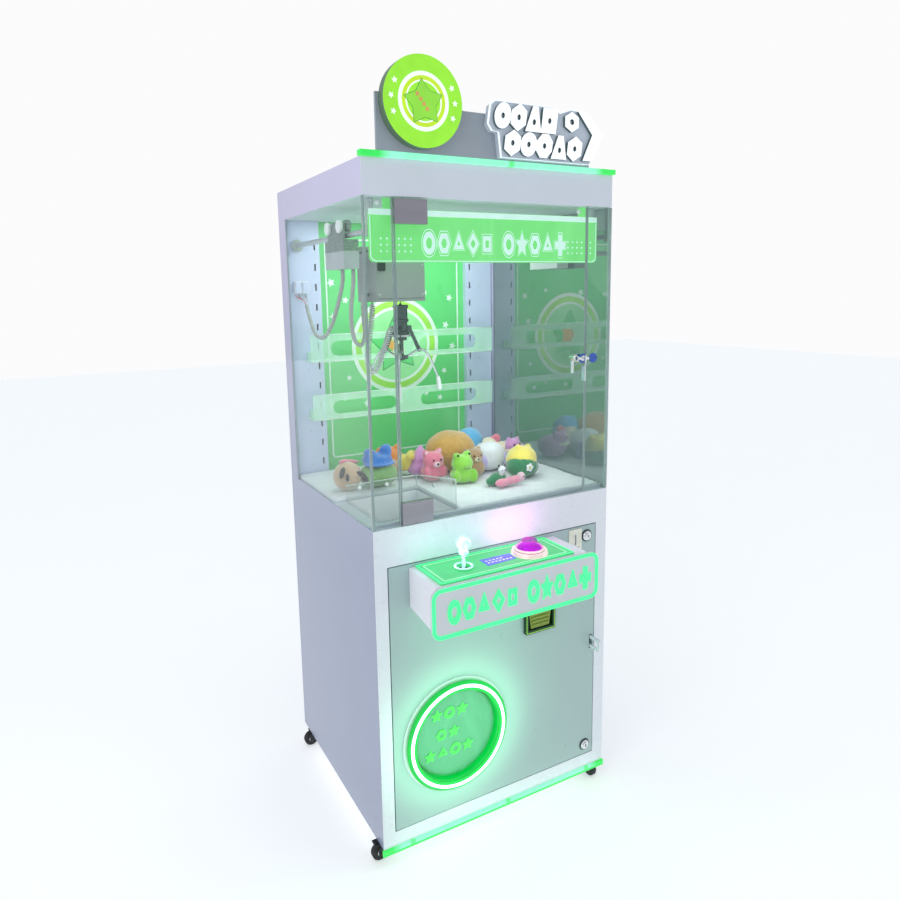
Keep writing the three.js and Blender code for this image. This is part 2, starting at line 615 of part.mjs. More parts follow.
// Hollow console with a rounded nose, open at the back, with two lugs for the joystick gimbal.
function consoleHousing() {
  const { x0, x1, z0, z1, front } = CONSOLE;
  const back = Y_FRONT - GAP;
  const side = (inset) => {
    const rear = inset ? back + 5 : back;
    const r = 16 - inset;
    const s = new THREE.Shape();
    s.moveTo(rear, z0 + 20 + inset);
    s.lineTo(front + 16, z0 + inset);
    s.absarc(front + 16, z0 + 16, r, -Math.PI / 2, -Math.PI, true);
    s.lineTo(front + inset, z1 - 16);
    s.absarc(front + 16, z1 - 16, r, Math.PI, Math.PI / 2, true);
    s.lineTo(rear, z1 - inset);
    s.closePath();
    return s;
  };
  const lugs = [STICK.x - 29, STICK.x + 29].map((x) =>
    box(x - 2, x + 2, STICK.y - 9, STICK.y + 9, 851, z1 - 1));
  return cut(
    fuse(cut(sidePlate(side(0), x0, x1), sidePlate(side(3), x0 + 3, x1 - 3)), ...lugs),
    bar([STICK.x, STICK.y, z1 - 10], [STICK.x, STICK.y, z1 + 5], 20, 24),
    bar([BUTTON.x, BUTTON.y, z1 - 10], [BUTTON.x, BUTTON.y, z1 + 5], 24, 24),
    bar([STICK.x - 35, STICK.y, STICK.pivotZ], [STICK.x + 35, STICK.y, STICK.pivotZ], 3.4, 10),
  );
}

// Lit top plate with the raised bezels around the stick and the button.
function consoleTopPanel() {
  const z = CONSOLE.z1 + GAP;
  const bezel = (x, y, inner, outer, h) => {
    const profile = [[inner, 2], [outer, 2], [outer, h - 1], [outer - 1, h], [inner, h], [inner, 2]];
    return turned(profile, [x, y, z], 'z', 20);
  };
  const plate = withHoles(
    roundedRect(-282, 150, -505, Y_FRONT - 4, 5),
    roundHole(STICK.x, STICK.y, 17),
    roundHole(BUTTON.x, BUTTON.y, 22),
  );
  return fuse(
    planPlate(plate, z, z + 4),
    bezel(STICK.x, STICK.y, 20, 28, 8),
    bezel(BUTTON.x, BUTTON.y, 44, 50, 11),
  );
}

function consoleFascia() {
  return frontPlate(roundedRect(-321, 217, 750, 886, 28), CONSOLE_FRONT, CONSOLE.front - GAP, 4);
}

function joystickGimbal() {
  const { x, y, pivotZ: z } = STICK;
  const ring = cut(
    box(x - 24, x + 24, y - 24, y + 24, z - 6, z + 6),
    box(x - 17, x + 17, y - 17, y + 17, z - 9, z + 9),
  );
  return cut(
    fuse(ring, bar([x - 30, y, z], [x - 20, y, z], 3, 10), bar([x + 20, y, z], [x + 30, y, z], 3, 10)),
    bar([x, y - 30, z], [x, y + 30, z], 3.4, 10),
  );
}

function joystick() {
  const { x, y, pivotZ, tip } = STICK;
  return fuse(
    bar([x, y, pivotZ - 16], [x, y, tip - 10], 5, 16),
    bar([x, y, pivotZ - 7], [x, y, pivotZ + 7], 10, 16),
    bar([x, y - 22, pivotZ], [x, y + 22, pivotZ], 3, 10),
    bar([x, y, tip - 26], [x, y, tip - 14], 8, 16, 12),
    new THREE.IcosahedronGeometry(20, 1).translate(x, y, tip),
  );
}

function pushButton() {
  const { x, y, r } = BUTTON;
  const dome = [
    [0, -40], [20, -40], [20, 10], [r, 10], [r, 16], [r * 0.93, 24], [r * 0.74, 31], [23, 34], [22, 42],
    [17, 46], [8, 48], [0, 48],
  ];
  return turned(dome, [x, y, CONSOLE.z1], 'z', 20);
}

function prizeRing() {
  const b = RING.bore;
  const profile = [
    [b, -14], [158, -14], [158, 0.3], [RING.r, 0.3], [RING.r, 3], [160, 4], [160, 18], [158, 20],
    [b + 9, 20], [b, 12], [b, -14],
  ];
  return turned(profile, [RING.x, Y_FRONT, RING.z], '-y', 40);
}

function prizeFlap() {
  const y = Y_FRONT + 4;
  return fuse(
    bar([RING.x, y - 2, RING.z], [RING.x, y + 2, RING.z], FLAP.r, 48),
    bar([RING.x - 38, y, FLAP.hingeZ], [RING.x + 38, y, FLAP.hingeZ], 3.5, 10),
  );
}

function coinAcceptor() {
  const y = Y_FRONT - GAP;
  return cut(
    fuse(
      frontPlate(roundedRect(250, 300, 810, 889, 4), y - 3, y),
      box(258, 292, y - 1, -262, 818, 882),
    ),
    box(272, 278, y - 10, y + 22, 838, 872),
  );
}

function coinReturnBox() {
  const { x0, x1, z0, z1 } = COIN_RETURN;
  const y = Y_FRONT - GAP;
  return cut(
    fuse(
      frontPlate(roundedRect(x0, x1, z0, z1, 5), y - 12, y),
      box(x0 + 6, x1 - 6, y - 1, -303, z0 + 6, z1 - 6),
    ),
    box(x0 + 11, x1 - 11, y - 20, -306, z0 + 12, z1 - 26),
  );
}

function coinReturnFlap() {
  const { x0, x1, z0, z1 } = COIN_RETURN;
  const top = z1 - 28;
  const points = [
    [x0 + 22, z0 + 15], [x1 - 22, z0 + 15], [x1 - 13, top - 3],
    [x1 - 13, top], [x0 + 13, top], [x0 + 13, top - 3],
  ];
  const y = Y_FRONT - 7;
  return fuse(
    frontPlate(outline(points), y - 1.5, y + 1.5),
    bar([x0 + 12, y, top - 2.4], [x1 - 12, y, top - 2.4], 2.2, 8),
  );
}

function doorLock([x, z]) {
  const barrel = [[0, 0], [10.6, 0], [10.6, 28.3], [16, 28.3], [16, 32], [13.5, 35], [0, 35]];
  return fuse(
    turned(barrel, [x, Y_FRONT + 28, z], '-y', 20),
    box(x - 7, x + 7, -329.4, -326, z - 45, z + 7),
  );
}

// ---- Electrics ----------------------------------------------------------------------------

// Open tray for the power supply and the control board, with the mains inlet through the back.
function electronicsBox() {
  const wall = 2.5;
  const [x0, x1, y0, y1, z0, z1] = [-330, -130, 232, Y_BACK - 3.1, FLOOR_Z + 4.3, 300];
  return cut(
    fuse(
      cut(box(x0, x1, y0, y1, z0, z1), box(x0 + wall, x1 - wall, y0 + wall, y1 - wall, z0 + wall, z1 + 5)),
      box(-274, -226, y1 - 22, Y_BACK - 0.4, 156, 184),
      box(-310, -210, y0 + 20, y0 + 80, z0 + 1, z0 + 55),
    ),
    box(-264, -236, Y_BACK - 18, Y_BACK + 5, 161, 179),
  );
}

// ---- Casters ------------------------------------------------------------------------------

// Swivel fork drawn about its own stem, trailing along -X, with a brake pedal on the front pair.
function casterFork(brake) {
  const { trail, wheelR, wheelW } = CASTER;
  const half = wheelW / 2 + 2;
  const cheek = outline([
    [-16, 53], [10, 53], [-trail + 7, wheelR - 6], [-trail - 7, wheelR - 6], [-trail - 8, 40],
  ]);
  const cheeks = [-half - 2.5, half].map((y) => frontPlate(cheek, y, y + 2.5));
  const axle = bar([-trail, -half - 4, wheelR], [-trail, half + 4, wheelR], 4, 8);
  const crown = turned([[0, 51.5], [22, 51.5], [24, 54], [24, 57.5], [0, 57.5]], [0, 0, 0], 'z', 12);
  const pedal = brake ? [box(-trail - 18, -trail + 4, -half - 2, half + 2, 51.6, 55)] : [];
  return fuse(crown, ...cheeks, axle, box(-trail - 6, 10, -half - 2.5, half + 2.5, 51.6, 54), ...pedal);
}

function casterWheel() {
  const { wheelR: r, wheelW } = CASTER;
  const w = wheelW / 2;
  const profile = [[4.3, -w], [r - 3, -w], [r, -w + 3], [r, w - 3], [r - 3, w], [4.3, w], [4.3, -w]];
  return turned(profile, [0, 0, 0], '-y', 24);
}

function addCasters() {
  const toLeft = 0;
  const toFront = Math.PI / 2;
  const corners = {
    front_left: [-1, -1, toLeft],
    front_right: [1, -1, toFront],
    rear_left: [-1, 1, toLeft],
    rear_right: [1, 1, toFront],
  };
  for (const [name, [sx, sy, trail]] of Object.entries(corners)) {
    const mount = new THREE.Group();
    mount.position.set(sx * CASTER.x, sy * CASTER.y, 0);
    mount.rotation.z = trail;
    machine.add(mount);
    place(`caster_fork_${name}`, casterFork(sy < 0), surface(0x4a5056, 0.4, 0.7), mount);
    const wheel = place(`caster_wheel_${name}`, casterWheel(), surface(0x6b6f75, 0.7), mount);
    wheel.position.set(-CASTER.trail, 0, CASTER.wheelR);
  }
}

// ---- Assembly -----------------------------------------------------------------------------

const white = surface(WHITE, 0.35);
const grey = surface(STEEL_GREY, 0.45, 0.3);
const glass = clear(0xe6f5f0, 0.25);
const acrylic = clear(0xdff5ea, 0.35);
const greenLight = lit(LED_GREEN);

place('base_frame', baseFrame(), white);
place('cabinet_shell', cabinetShell(), white);
place('play_deck', playDeck(), white);
place('header_housing', headerHousing(), white);
place('rear_frame', rearFrame(), surface(0xdfe6ee, 0.5));
place('rear_display_panel', displayPanel(), surface(0x5fd873, 0.3));
place('electronics_box', electronicsBox(), grey);
place('header_light_strip', lightStrip(Y_FRONT - 10, 22, ROOF_Z + GAP, ROOF_Z + 14), greenLight);
place('base_light_strip', lightStrip(Y_FRONT - 6, 10, FLOOR_Z - 18, FLOOR_Z - GAP), greenLight);

place('left_glazing', cornerGlazing(STRIP_LEFT), glass);
place('right_glazing', cornerGlazing(STRIP_RIGHT), glass);
place('glass_door', glassDoor(), glass);
place('glass_door_lock', glassDoorLock(), surface(0x9aa3ad, 0.3, 0.8));
place('banner_panel', bannerPanel(), surface(0x63d973, 0.3));

place('shelf_lower', shelf(1205, 85, 228), acrylic);
place('shelf_upper', shelf(1400, 90, 228), acrylic);
place('prize_chute', prizeChute(), acrylic);
place('prize_mat', prizeMat(), surface(0xeef2f4, 0.95));
place('prize_pile', prizePile(), surface(0xe8a8c0, 0.95));

place('sign_board', signBoard(), surface(0xa9b3b8, 0.4, 0.5));
place('roundel', roundel(), surface(LIME, 0.35));
place('marquee_sign', marqueeSign(), lit(0xf4f8ff));

place('runway_frame', runwayFrame(), surface(0xdce6ea, 0.3, 0.6));
place('bridge', bridge(), grey);
place('trolley', trolley(), grey);
place('hoist_drum', hoistDrum(), surface(0xd8dadc, 0.5));
place('hoist_cord', hoistCord(), surface(0x30353a, 0.8));
addClaw();
place('bridge_harness', cord(BRIDGE_HARNESS, 6, 8, 18), surface(0x9aa0a2, 0.7));
place('trolley_harness', cord(TROLLEY_HARNESS, 6, 8, 16), surface(0x767d80, 0.7));
place('claw_coil_cord', cord(CLAW_CORD, 9, 8, 14), surface(0xc9cbd0, 0.7));

place('service_door', serviceDoor(), white);
place('console_housing', consoleHousing(), white);
place('console_top_panel', consoleTopPanel(), lit(0x59f57d));
place('console_fascia', consoleFascia(), lit(0x9ff5b8));
place('joystick_gimbal', joystickGimbal(), surface(0x3a3f44, 0.5));
place('joystick', joystick(), clear(0xe8fff4, 0.5));
place('push_button', pushButton(), lit(0xff6fe0));
place('prize_ring', prizeRing(), greenLight);
place('prize_flap', prizeFlap(), clear(0x4dd68a, 0.6));
place('coin_acceptor', coinAcceptor(), surface(0xd9c99a, 0.4));
place('coin_return_box', coinReturnBox(), surface(0x1f4a24, 0.4));
place('coin_return_flap', coinReturnFlap(), surface(0xa8d840, 0.35));
place('door_lock_upper', doorLock(LOCKS.upper), surface(0xb9bfc6, 0.25, 0.9));
place('door_lock_lower', doorLock(LOCKS.lower), surface(0xb9bfc6, 0.25, 0.9));
addCasters();

const clawCraneMachine = new THREE.Group();
clawCraneMachine.add(machine);

export default clawCraneMachine;
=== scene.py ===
"""Claw crane machine: the looks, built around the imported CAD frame.

Places are in cabinet millimetres, turned into the frame's metres by at(): x and z as in the frame, and y
from the cabinet's centre.
"""
import math
import random

import bmesh
import bpy
from mathutils import Matrix, Vector, noise


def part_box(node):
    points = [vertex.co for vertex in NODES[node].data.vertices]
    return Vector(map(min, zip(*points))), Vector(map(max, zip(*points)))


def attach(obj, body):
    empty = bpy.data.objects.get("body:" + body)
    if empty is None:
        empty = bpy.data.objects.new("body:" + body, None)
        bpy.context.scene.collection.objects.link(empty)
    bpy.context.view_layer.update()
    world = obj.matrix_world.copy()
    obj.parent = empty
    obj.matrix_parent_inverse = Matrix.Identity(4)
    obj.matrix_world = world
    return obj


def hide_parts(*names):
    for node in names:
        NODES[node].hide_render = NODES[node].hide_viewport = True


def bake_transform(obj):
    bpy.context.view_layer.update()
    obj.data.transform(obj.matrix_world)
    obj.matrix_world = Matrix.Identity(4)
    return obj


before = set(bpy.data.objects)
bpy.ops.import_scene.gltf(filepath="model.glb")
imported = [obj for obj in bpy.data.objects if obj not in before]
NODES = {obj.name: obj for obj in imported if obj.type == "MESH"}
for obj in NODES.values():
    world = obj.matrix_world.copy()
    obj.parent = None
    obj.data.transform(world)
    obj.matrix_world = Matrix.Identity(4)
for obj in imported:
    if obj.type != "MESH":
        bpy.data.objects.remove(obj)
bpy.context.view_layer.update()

MM = 0.001
CABINET_Y = 0.086  # the cabinet's centre lies this far behind the frame's origin
STICK_X, STICK_Y = -175, -437
BUTTON_X, BUTTON_Y = 40, -440
CONSOLE_TOP_Z = 888
RING_X, RING_Z = -160, 349
DOOR_Y = -354  # front face of the service door
ROUNDEL_X, ROUNDEL_Z = -243, 2083
KEY_X, KEY_Z = 267, 1423
PRINT_Y, MOTIF_Z = 319.6, 1436
BANNER_Y = -322.5
GLASS_Y = -351.5
CLAW_X, CLAW_Y = -198, -135
UP, FORWARD = (0, 0, 1), (0, -1, 0)
SHARP = math.radians(35)  # edges sharper than this stay crisp
CORNERS = {"front_left": (-1, -1), "front_right": (1, -1), "rear_left": (-1, 1), "rear_right": (1, 1)}


def at(x, y, z):
    """A point given in cabinet millimetres."""
    return Vector((x * MM, y * MM + CABINET_Y, z * MM))


def link(obj):
    """Puts a new object into the scene and returns it."""
    bpy.context.scene.collection.objects.link(obj)
    return obj


# ---- Camera ----


def make_camera():
    """The view of the photo, solved from the cabinet's straight edges."""
    azimuth, down, roll = math.radians(28.5), math.radians(9.1), -0.019
    ahead = Vector((math.sin(azimuth) * math.cos(down), math.cos(azimuth) * math.cos(down), -math.sin(down)))
    level = Vector((math.cos(azimuth), -math.sin(azimuth), 0))
    above = level.cross(ahead)
    right = level * math.cos(roll) + above * math.sin(roll)
    up = above * math.cos(roll) - level * math.sin(roll)
    data = bpy.data.cameras.new("camera")
    data.lens, data.clip_start = 28.36, 0.05
    data.shift_x, data.shift_y = 0.0133, -0.0503
    camera = link(bpy.data.objects.new("camera", data))
    rotation = Matrix((right, up, -ahead)).transposed()
    camera.matrix_world = Matrix.Translation((-1.096, -1.920, 1.625)) @ rotation.to_4x4()
    bpy.context.scene.camera = camera


make_camera()


# ---- Materials ----


def rgb(colour, gain=1.0):
    return tuple(min(1.0, c * gain) for c in colour) + (1.0,)


class Tree:
    """A material's node tree with short calls to add nodes."""

    def __init__(self, name):
        self.material = bpy.data.materials.new(name)
        self.material.use_nodes = True
        self.nodes = self.material.node_tree.nodes
        self.links = self.material.node_tree.links
        self.nodes.clear()
        self.output = self.nodes.new("ShaderNodeOutputMaterial")

    def add(self, kind, inputs=None, **settings):
        """Adds a node and returns its outputs; an input is a value or another node's output."""
        node = self.nodes.new("ShaderNode" + kind)
        for key, value in settings.items():
            setattr(node, key, value)
        for key, value in (inputs or {}).items():
            if isinstance(value, bpy.types.NodeSocket):
                self.links.new(value, node.inputs[key])
            else:
                node.inputs[key].default_value = value
        return node.outputs

    def place(self, stretch=(1, 1, 1)):
        """The object's own coordinates, which are the frame's at rest."""
        coordinates = self.add("TexCoord")["Object"]
        return self.add("Mapping", {"Vector": coordinates, "Scale": stretch})[0]

    def along(self, axis):
        """The place along one axis: 0, 1 or 2."""
        return self.add("SeparateXYZ", {0: self.place()})[axis]

    def noise(self, scale, detail=3.0, stretch=(1, 1, 1), distortion=0.0):
        inputs = {"Vector": self.place(stretch), "Scale": scale, "Detail": detail, "Distortion": distortion}
        return self.add("TexNoise", inputs)[0]

    def span(self, value, low, high, start=0.3, end=0.7):
        """Values from start to end become low to high."""
        inputs = {"Value": value, "From Min": start, "From Max": end, "To Min": low, "To Max": high}
        return self.add("MapRange", inputs)[0]

    def past(self, value, limit, soft):
        """0 below the limit and 1 above it."""
        return self.span(value, 0, 1, limit - soft, limit + soft)

    def mix(self, factor, first, second):
        return self.add("Mix", {0: factor, 6: first, 7: second}, data_type="RGBA")[2]

    def mottle(self, pattern, first, second):
        return self.mix(self.span(pattern, 0, 1), rgb(first), rgb(second))

    def blend(self, factor, first, second):
        return self.add("MixShader", {0: factor, 1: first, 2: second})[0]

    def maths(self, operation, *values):
        return self.add("Math", dict(enumerate(values)), operation=operation)[0]

    def apart(self, value, centre):
        return self.maths("ABSOLUTE", self.maths("SUBTRACT", value, centre))

    def bump(self, height, strength, distance=0.0004):
        return self.add("Bump", {"Height": height, "Strength": strength, "Distance": distance})[0]

    def solid(self, **inputs):
        return self.add("BsdfPrincipled", {key.replace("_", " "): value for key, value in inputs.items()})[0]

    def finish(self, shader):
        self.links.new(shader, self.output.inputs[0])
        return self.material


def surface(
    name, colour, rough=0.4, metal=0.0, tone=0.05, patch=7, grain=0.05, fine=700, stretch=(1, 1, 1),
    smudge=1.0, **more
):
    """A solid finish: slow tone changes, smudged gloss and fine grain."""
    tree = Tree(name)
    shade = tree.mottle(tree.noise(patch, 5, stretch), rgb(colour, 1 - tone)[:3], rgb(colour, 1 + tone)[:3])
    specks = tree.span(tree.noise(fine * 0.4, 2, stretch), 0, tone * 0.8, 0.5, 0.75)
    shade = tree.mix(specks, shade, rgb(colour, 0.6))
    glossiest, dullest = rough * (1 - 0.25 * smudge), min(1, rough * (1 + 0.3 * smudge))
    gloss = tree.span(tree.noise(patch * 3, 6, stretch, 0.4), glossiest, dullest)
    normal = tree.bump(tree.noise(fine, 2, stretch), grain)
    return tree.finish(tree.solid(Base_Color=shade, Metallic=metal, Roughness=gloss, Normal=normal, **more))


def lamp(name, colour, strength, body=None, ripple=0.08):
    """A lit surface with slow changes of level and tint."""
    tree = Tree(name)
    level = tree.span(tree.noise(30, 3), strength * (1 - ripple), strength * (1 + ripple))
    tint = tree.mottle(tree.noise(12, 3), rgb(colour, 0.93)[:3], rgb(colour, 1.05)[:3])
    return tree.finish(tree.solid(
        Base_Color=rgb(body or tuple(c * 0.3 for c in colour)), Roughness=0.3,
        Normal=tree.bump(tree.noise(500, 2), 0.05), Emission_Color=tint, Emission_Strength=level,
    ))


def clear_sheet(tree, tint, haze=0.0, haze_colour=(0.8, 0.9, 0.85), rough=0.02, mirror=1.0, sheen=0.035,
                glow=0.0):
    """What is behind it shows, with gloss that grows at low angles and faint wiping marks; glow adds painted
    light, an even emission in the haze colour.
    """
    facing = tree.add("LayerWeight", {"Blend": 0.5})["Facing"]
    share = tree.maths("MULTIPLY_ADD", tree.maths("POWER", facing, 5.0), 0.9 * mirror, sheen)
    clear = tree.add("BsdfTransparent", {"Color": rgb(tint)})[0]
    marks = tree.span(tree.noise(9, 6, (1, 1, 0.3), 0.6), 0.0, 0.02 + haze * 0.5, 0.45, 0.8)
    veil = tree.maths("ADD", marks, haze)
    body = tree.blend(veil, clear, tree.add("BsdfDiffuse", {"Color": rgb(haze_colour)})[0])
    if glow:
        # Painted light: the sheet glows though it is no lamp.
        sheet_painted_light = tree.add("Emission", {"Color": rgb(haze_colour), "Strength": glow})[0]
        body = tree.add("AddShader", {0: body, 1: sheet_painted_light})[0]
    normal = tree.bump(tree.noise(3, 2), 0.08, 0.004)
    gloss = tree.add("BsdfGlossy", {"Color": rgb((1, 1, 1)), "Roughness": rough, "Normal": normal})[0]
    return tree.blend(share, body, gloss)


def pane(name, tint, **settings):
    tree = Tree(name)
    return tree.finish(clear_sheet(tree, tint, **settings))


def side_glass(name, strip):
    """The side pane has a darker tint and more gloss; the bonded strip in front of it is plain clear glass."""
    tree = Tree(name)
    # film here is only a darker tint on the side pane, with more gloss.
    film = clear_sheet(tree, (0.35, 0.44, 0.43), mirror=1.6, sheen=0.20)
    plain = clear_sheet(tree, (0.92, 0.97, 0.95), sheen=0.03)
    return tree.finish(tree.blend(tree.past(tree.along(1), strip, 0.0005), plain, film))


def chute_acrylic(name, deck):
    """Clear above the deck; the duct under it is the same sheet with a white film."""
    tree = Tree(name)
    clear = clear_sheet(tree, (0.95, 0.975, 0.965), 0.05, (0.9, 0.95, 0.93))
    tone = tree.mottle(tree.noise(14, 4), (0.78, 0.81, 0.84), (0.84, 0.86, 0.88))
    film = tree.solid(Base_Color=tone, Roughness=0.4, Normal=tree.bump(tree.noise(500), 0.05))
    return tree.finish(tree.blend(tree.past(tree.along(2), deck, 0.001), film, clear))


def strip_lamp(name, foot, head, reach, joints):
    """A lit strip: an aqua core in a green edge, plain green past its reach and at the joints."""
    tree = Tree(name)
    x, _, z = tree.add("SeparateXYZ", {0: tree.place()})
    core = tree.span(tree.apart(z, (foot + head) / 2), 1, 0, (head - foot) * 0.40, (head - foot) * 0.50)
    core = tree.maths("MULTIPLY", core, tree.span(tree.maths("ABSOLUTE", x), 1, 0, reach, reach + 0.03))
    for joint in joints:
        core = tree.maths("MULTIPLY", core, tree.span(tree.apart(x, joint), 0.25, 1, 0.003, 0.012))
    core = tree.maths("MULTIPLY", core, tree.span(tree.noise(30, 3), 0.88, 1.0))
    return tree.finish(tree.solid(
        Base_Color=rgb((0.02, 0.25, 0.06)), Roughness=0.3, Normal=tree.bump(tree.noise(400, 2), 0.05),
        Emission_Color=tree.mix(core, rgb((0.03, 0.72, 0.08)), rgb((0.34, 1.0, 0.72))),
        Emission_Strength=tree.span(tree.noise(25, 3), 0.85, 1.0),
    ))


def truck_paint(name, edge):
    """Smooth grey paint on the lower cover and dark greenish metal on the bracket above it."""
    tree = Tree(name)
    upper = tree.past(tree.along(2), edge, 0.0006)
    paint = tree.mottle(tree.noise(18, 4), (0.44, 0.47, 0.50), (0.49, 0.52, 0.55))
    metal = tree.mottle(tree.noise(60, 5, (1, 1, 6)), (0.20, 0.25, 0.24), (0.38, 0.43, 0.42))
    return tree.finish(tree.solid(
        Base_Color=tree.mix(upper, paint, metal), Metallic=tree.maths("MULTIPLY", upper, 0.6),
        Roughness=tree.span(tree.noise(30, 4), 0.3, 0.45), Normal=tree.bump(tree.noise(300, 3), 0.06),
    ))


def shaded_side_paint(name, lower, upper, foot, head):
    """Gloss paint with painted shade: darker than the white it stands for and darker towards the bottom, it
    grows slowly lighter and warmer from the play deck up to the roof.
    """
    tree = Tree(name)
    tone = tree.mix(tree.span(tree.along(2), 0, 1, foot, head), rgb(lower), rgb(upper))
    return tree.finish(tree.solid(
        Base_Color=tree.mix(tree.span(tree.noise(6, 5), 0, 0.05), tone, rgb((0.16, 0.18, 0.26))),
        Roughness=tree.span(tree.noise(20, 6), 0.2, 0.27), Normal=tree.bump(tree.noise(420, 2), 0.02),
        Coat_Weight=0.3, Coat_Roughness=0.12,
    ))


def plush(name, colour, second=None, cell=420, sheen=0.7):
    """Short pile: tufts of two near tones, soft bump and a pale nap."""
    tree = Tree(name)
    second = second or tuple(c * 0.72 for c in colour)
    tufts = tree.span(tree.noise(cell, 4, (1, 1, 0.6), 0.3), 0, 1)
    slow = tree.span(tree.noise(26, 3), 0, 0.45)
    shade = tree.mix(tree.maths("MULTIPLY", tufts, 0.55), rgb(colour, 1.08), rgb(second))
    height = tree.maths("ADD", tree.noise(cell, 4, (1, 1, 0.6), 0.5), tree.noise(cell * 0.3, 3))
    return tree.finish(tree.solid(
        Base_Color=tree.mix(slow, shade, rgb(second, 1.02)), Roughness=0.95,
        Normal=tree.bump(height, 0.85, 0.0022),
        Sheen_Weight=sheen, Sheen_Roughness=0.5,
    ))


def crystal(name):
    """Clear faceted plastic lit from inside: every facet glows at its own level."""
    tree = Tree(name)
    facets = {"Vector": tree.place(), "Scale": 110.0}
    level = tree.add("SeparateColor", {0: tree.add("TexVoronoi", facets)["Color"]})[0]
    edge = tree.add("TexVoronoi", facets, feature="DISTANCE_TO_EDGE")[0]
    glow = tree.maths("MULTIPLY", tree.span(level, 0.22, 0.95, 0, 1), tree.span(edge, 0.4, 1.0, 0.0, 0.12))
    return tree.finish(tree.solid(
        Base_Color=rgb((0.65, 0.88, 0.95)), Roughness=0.06, Alpha=0.9, Normal=tree.bump(edge, 0.5, 0.0015),
        Emission_Color=tree.mix(level, rgb((0.30, 0.88, 1.0)), rgb((0.85, 1.0, 1.0))), Emission_Strength=glow,
    ))


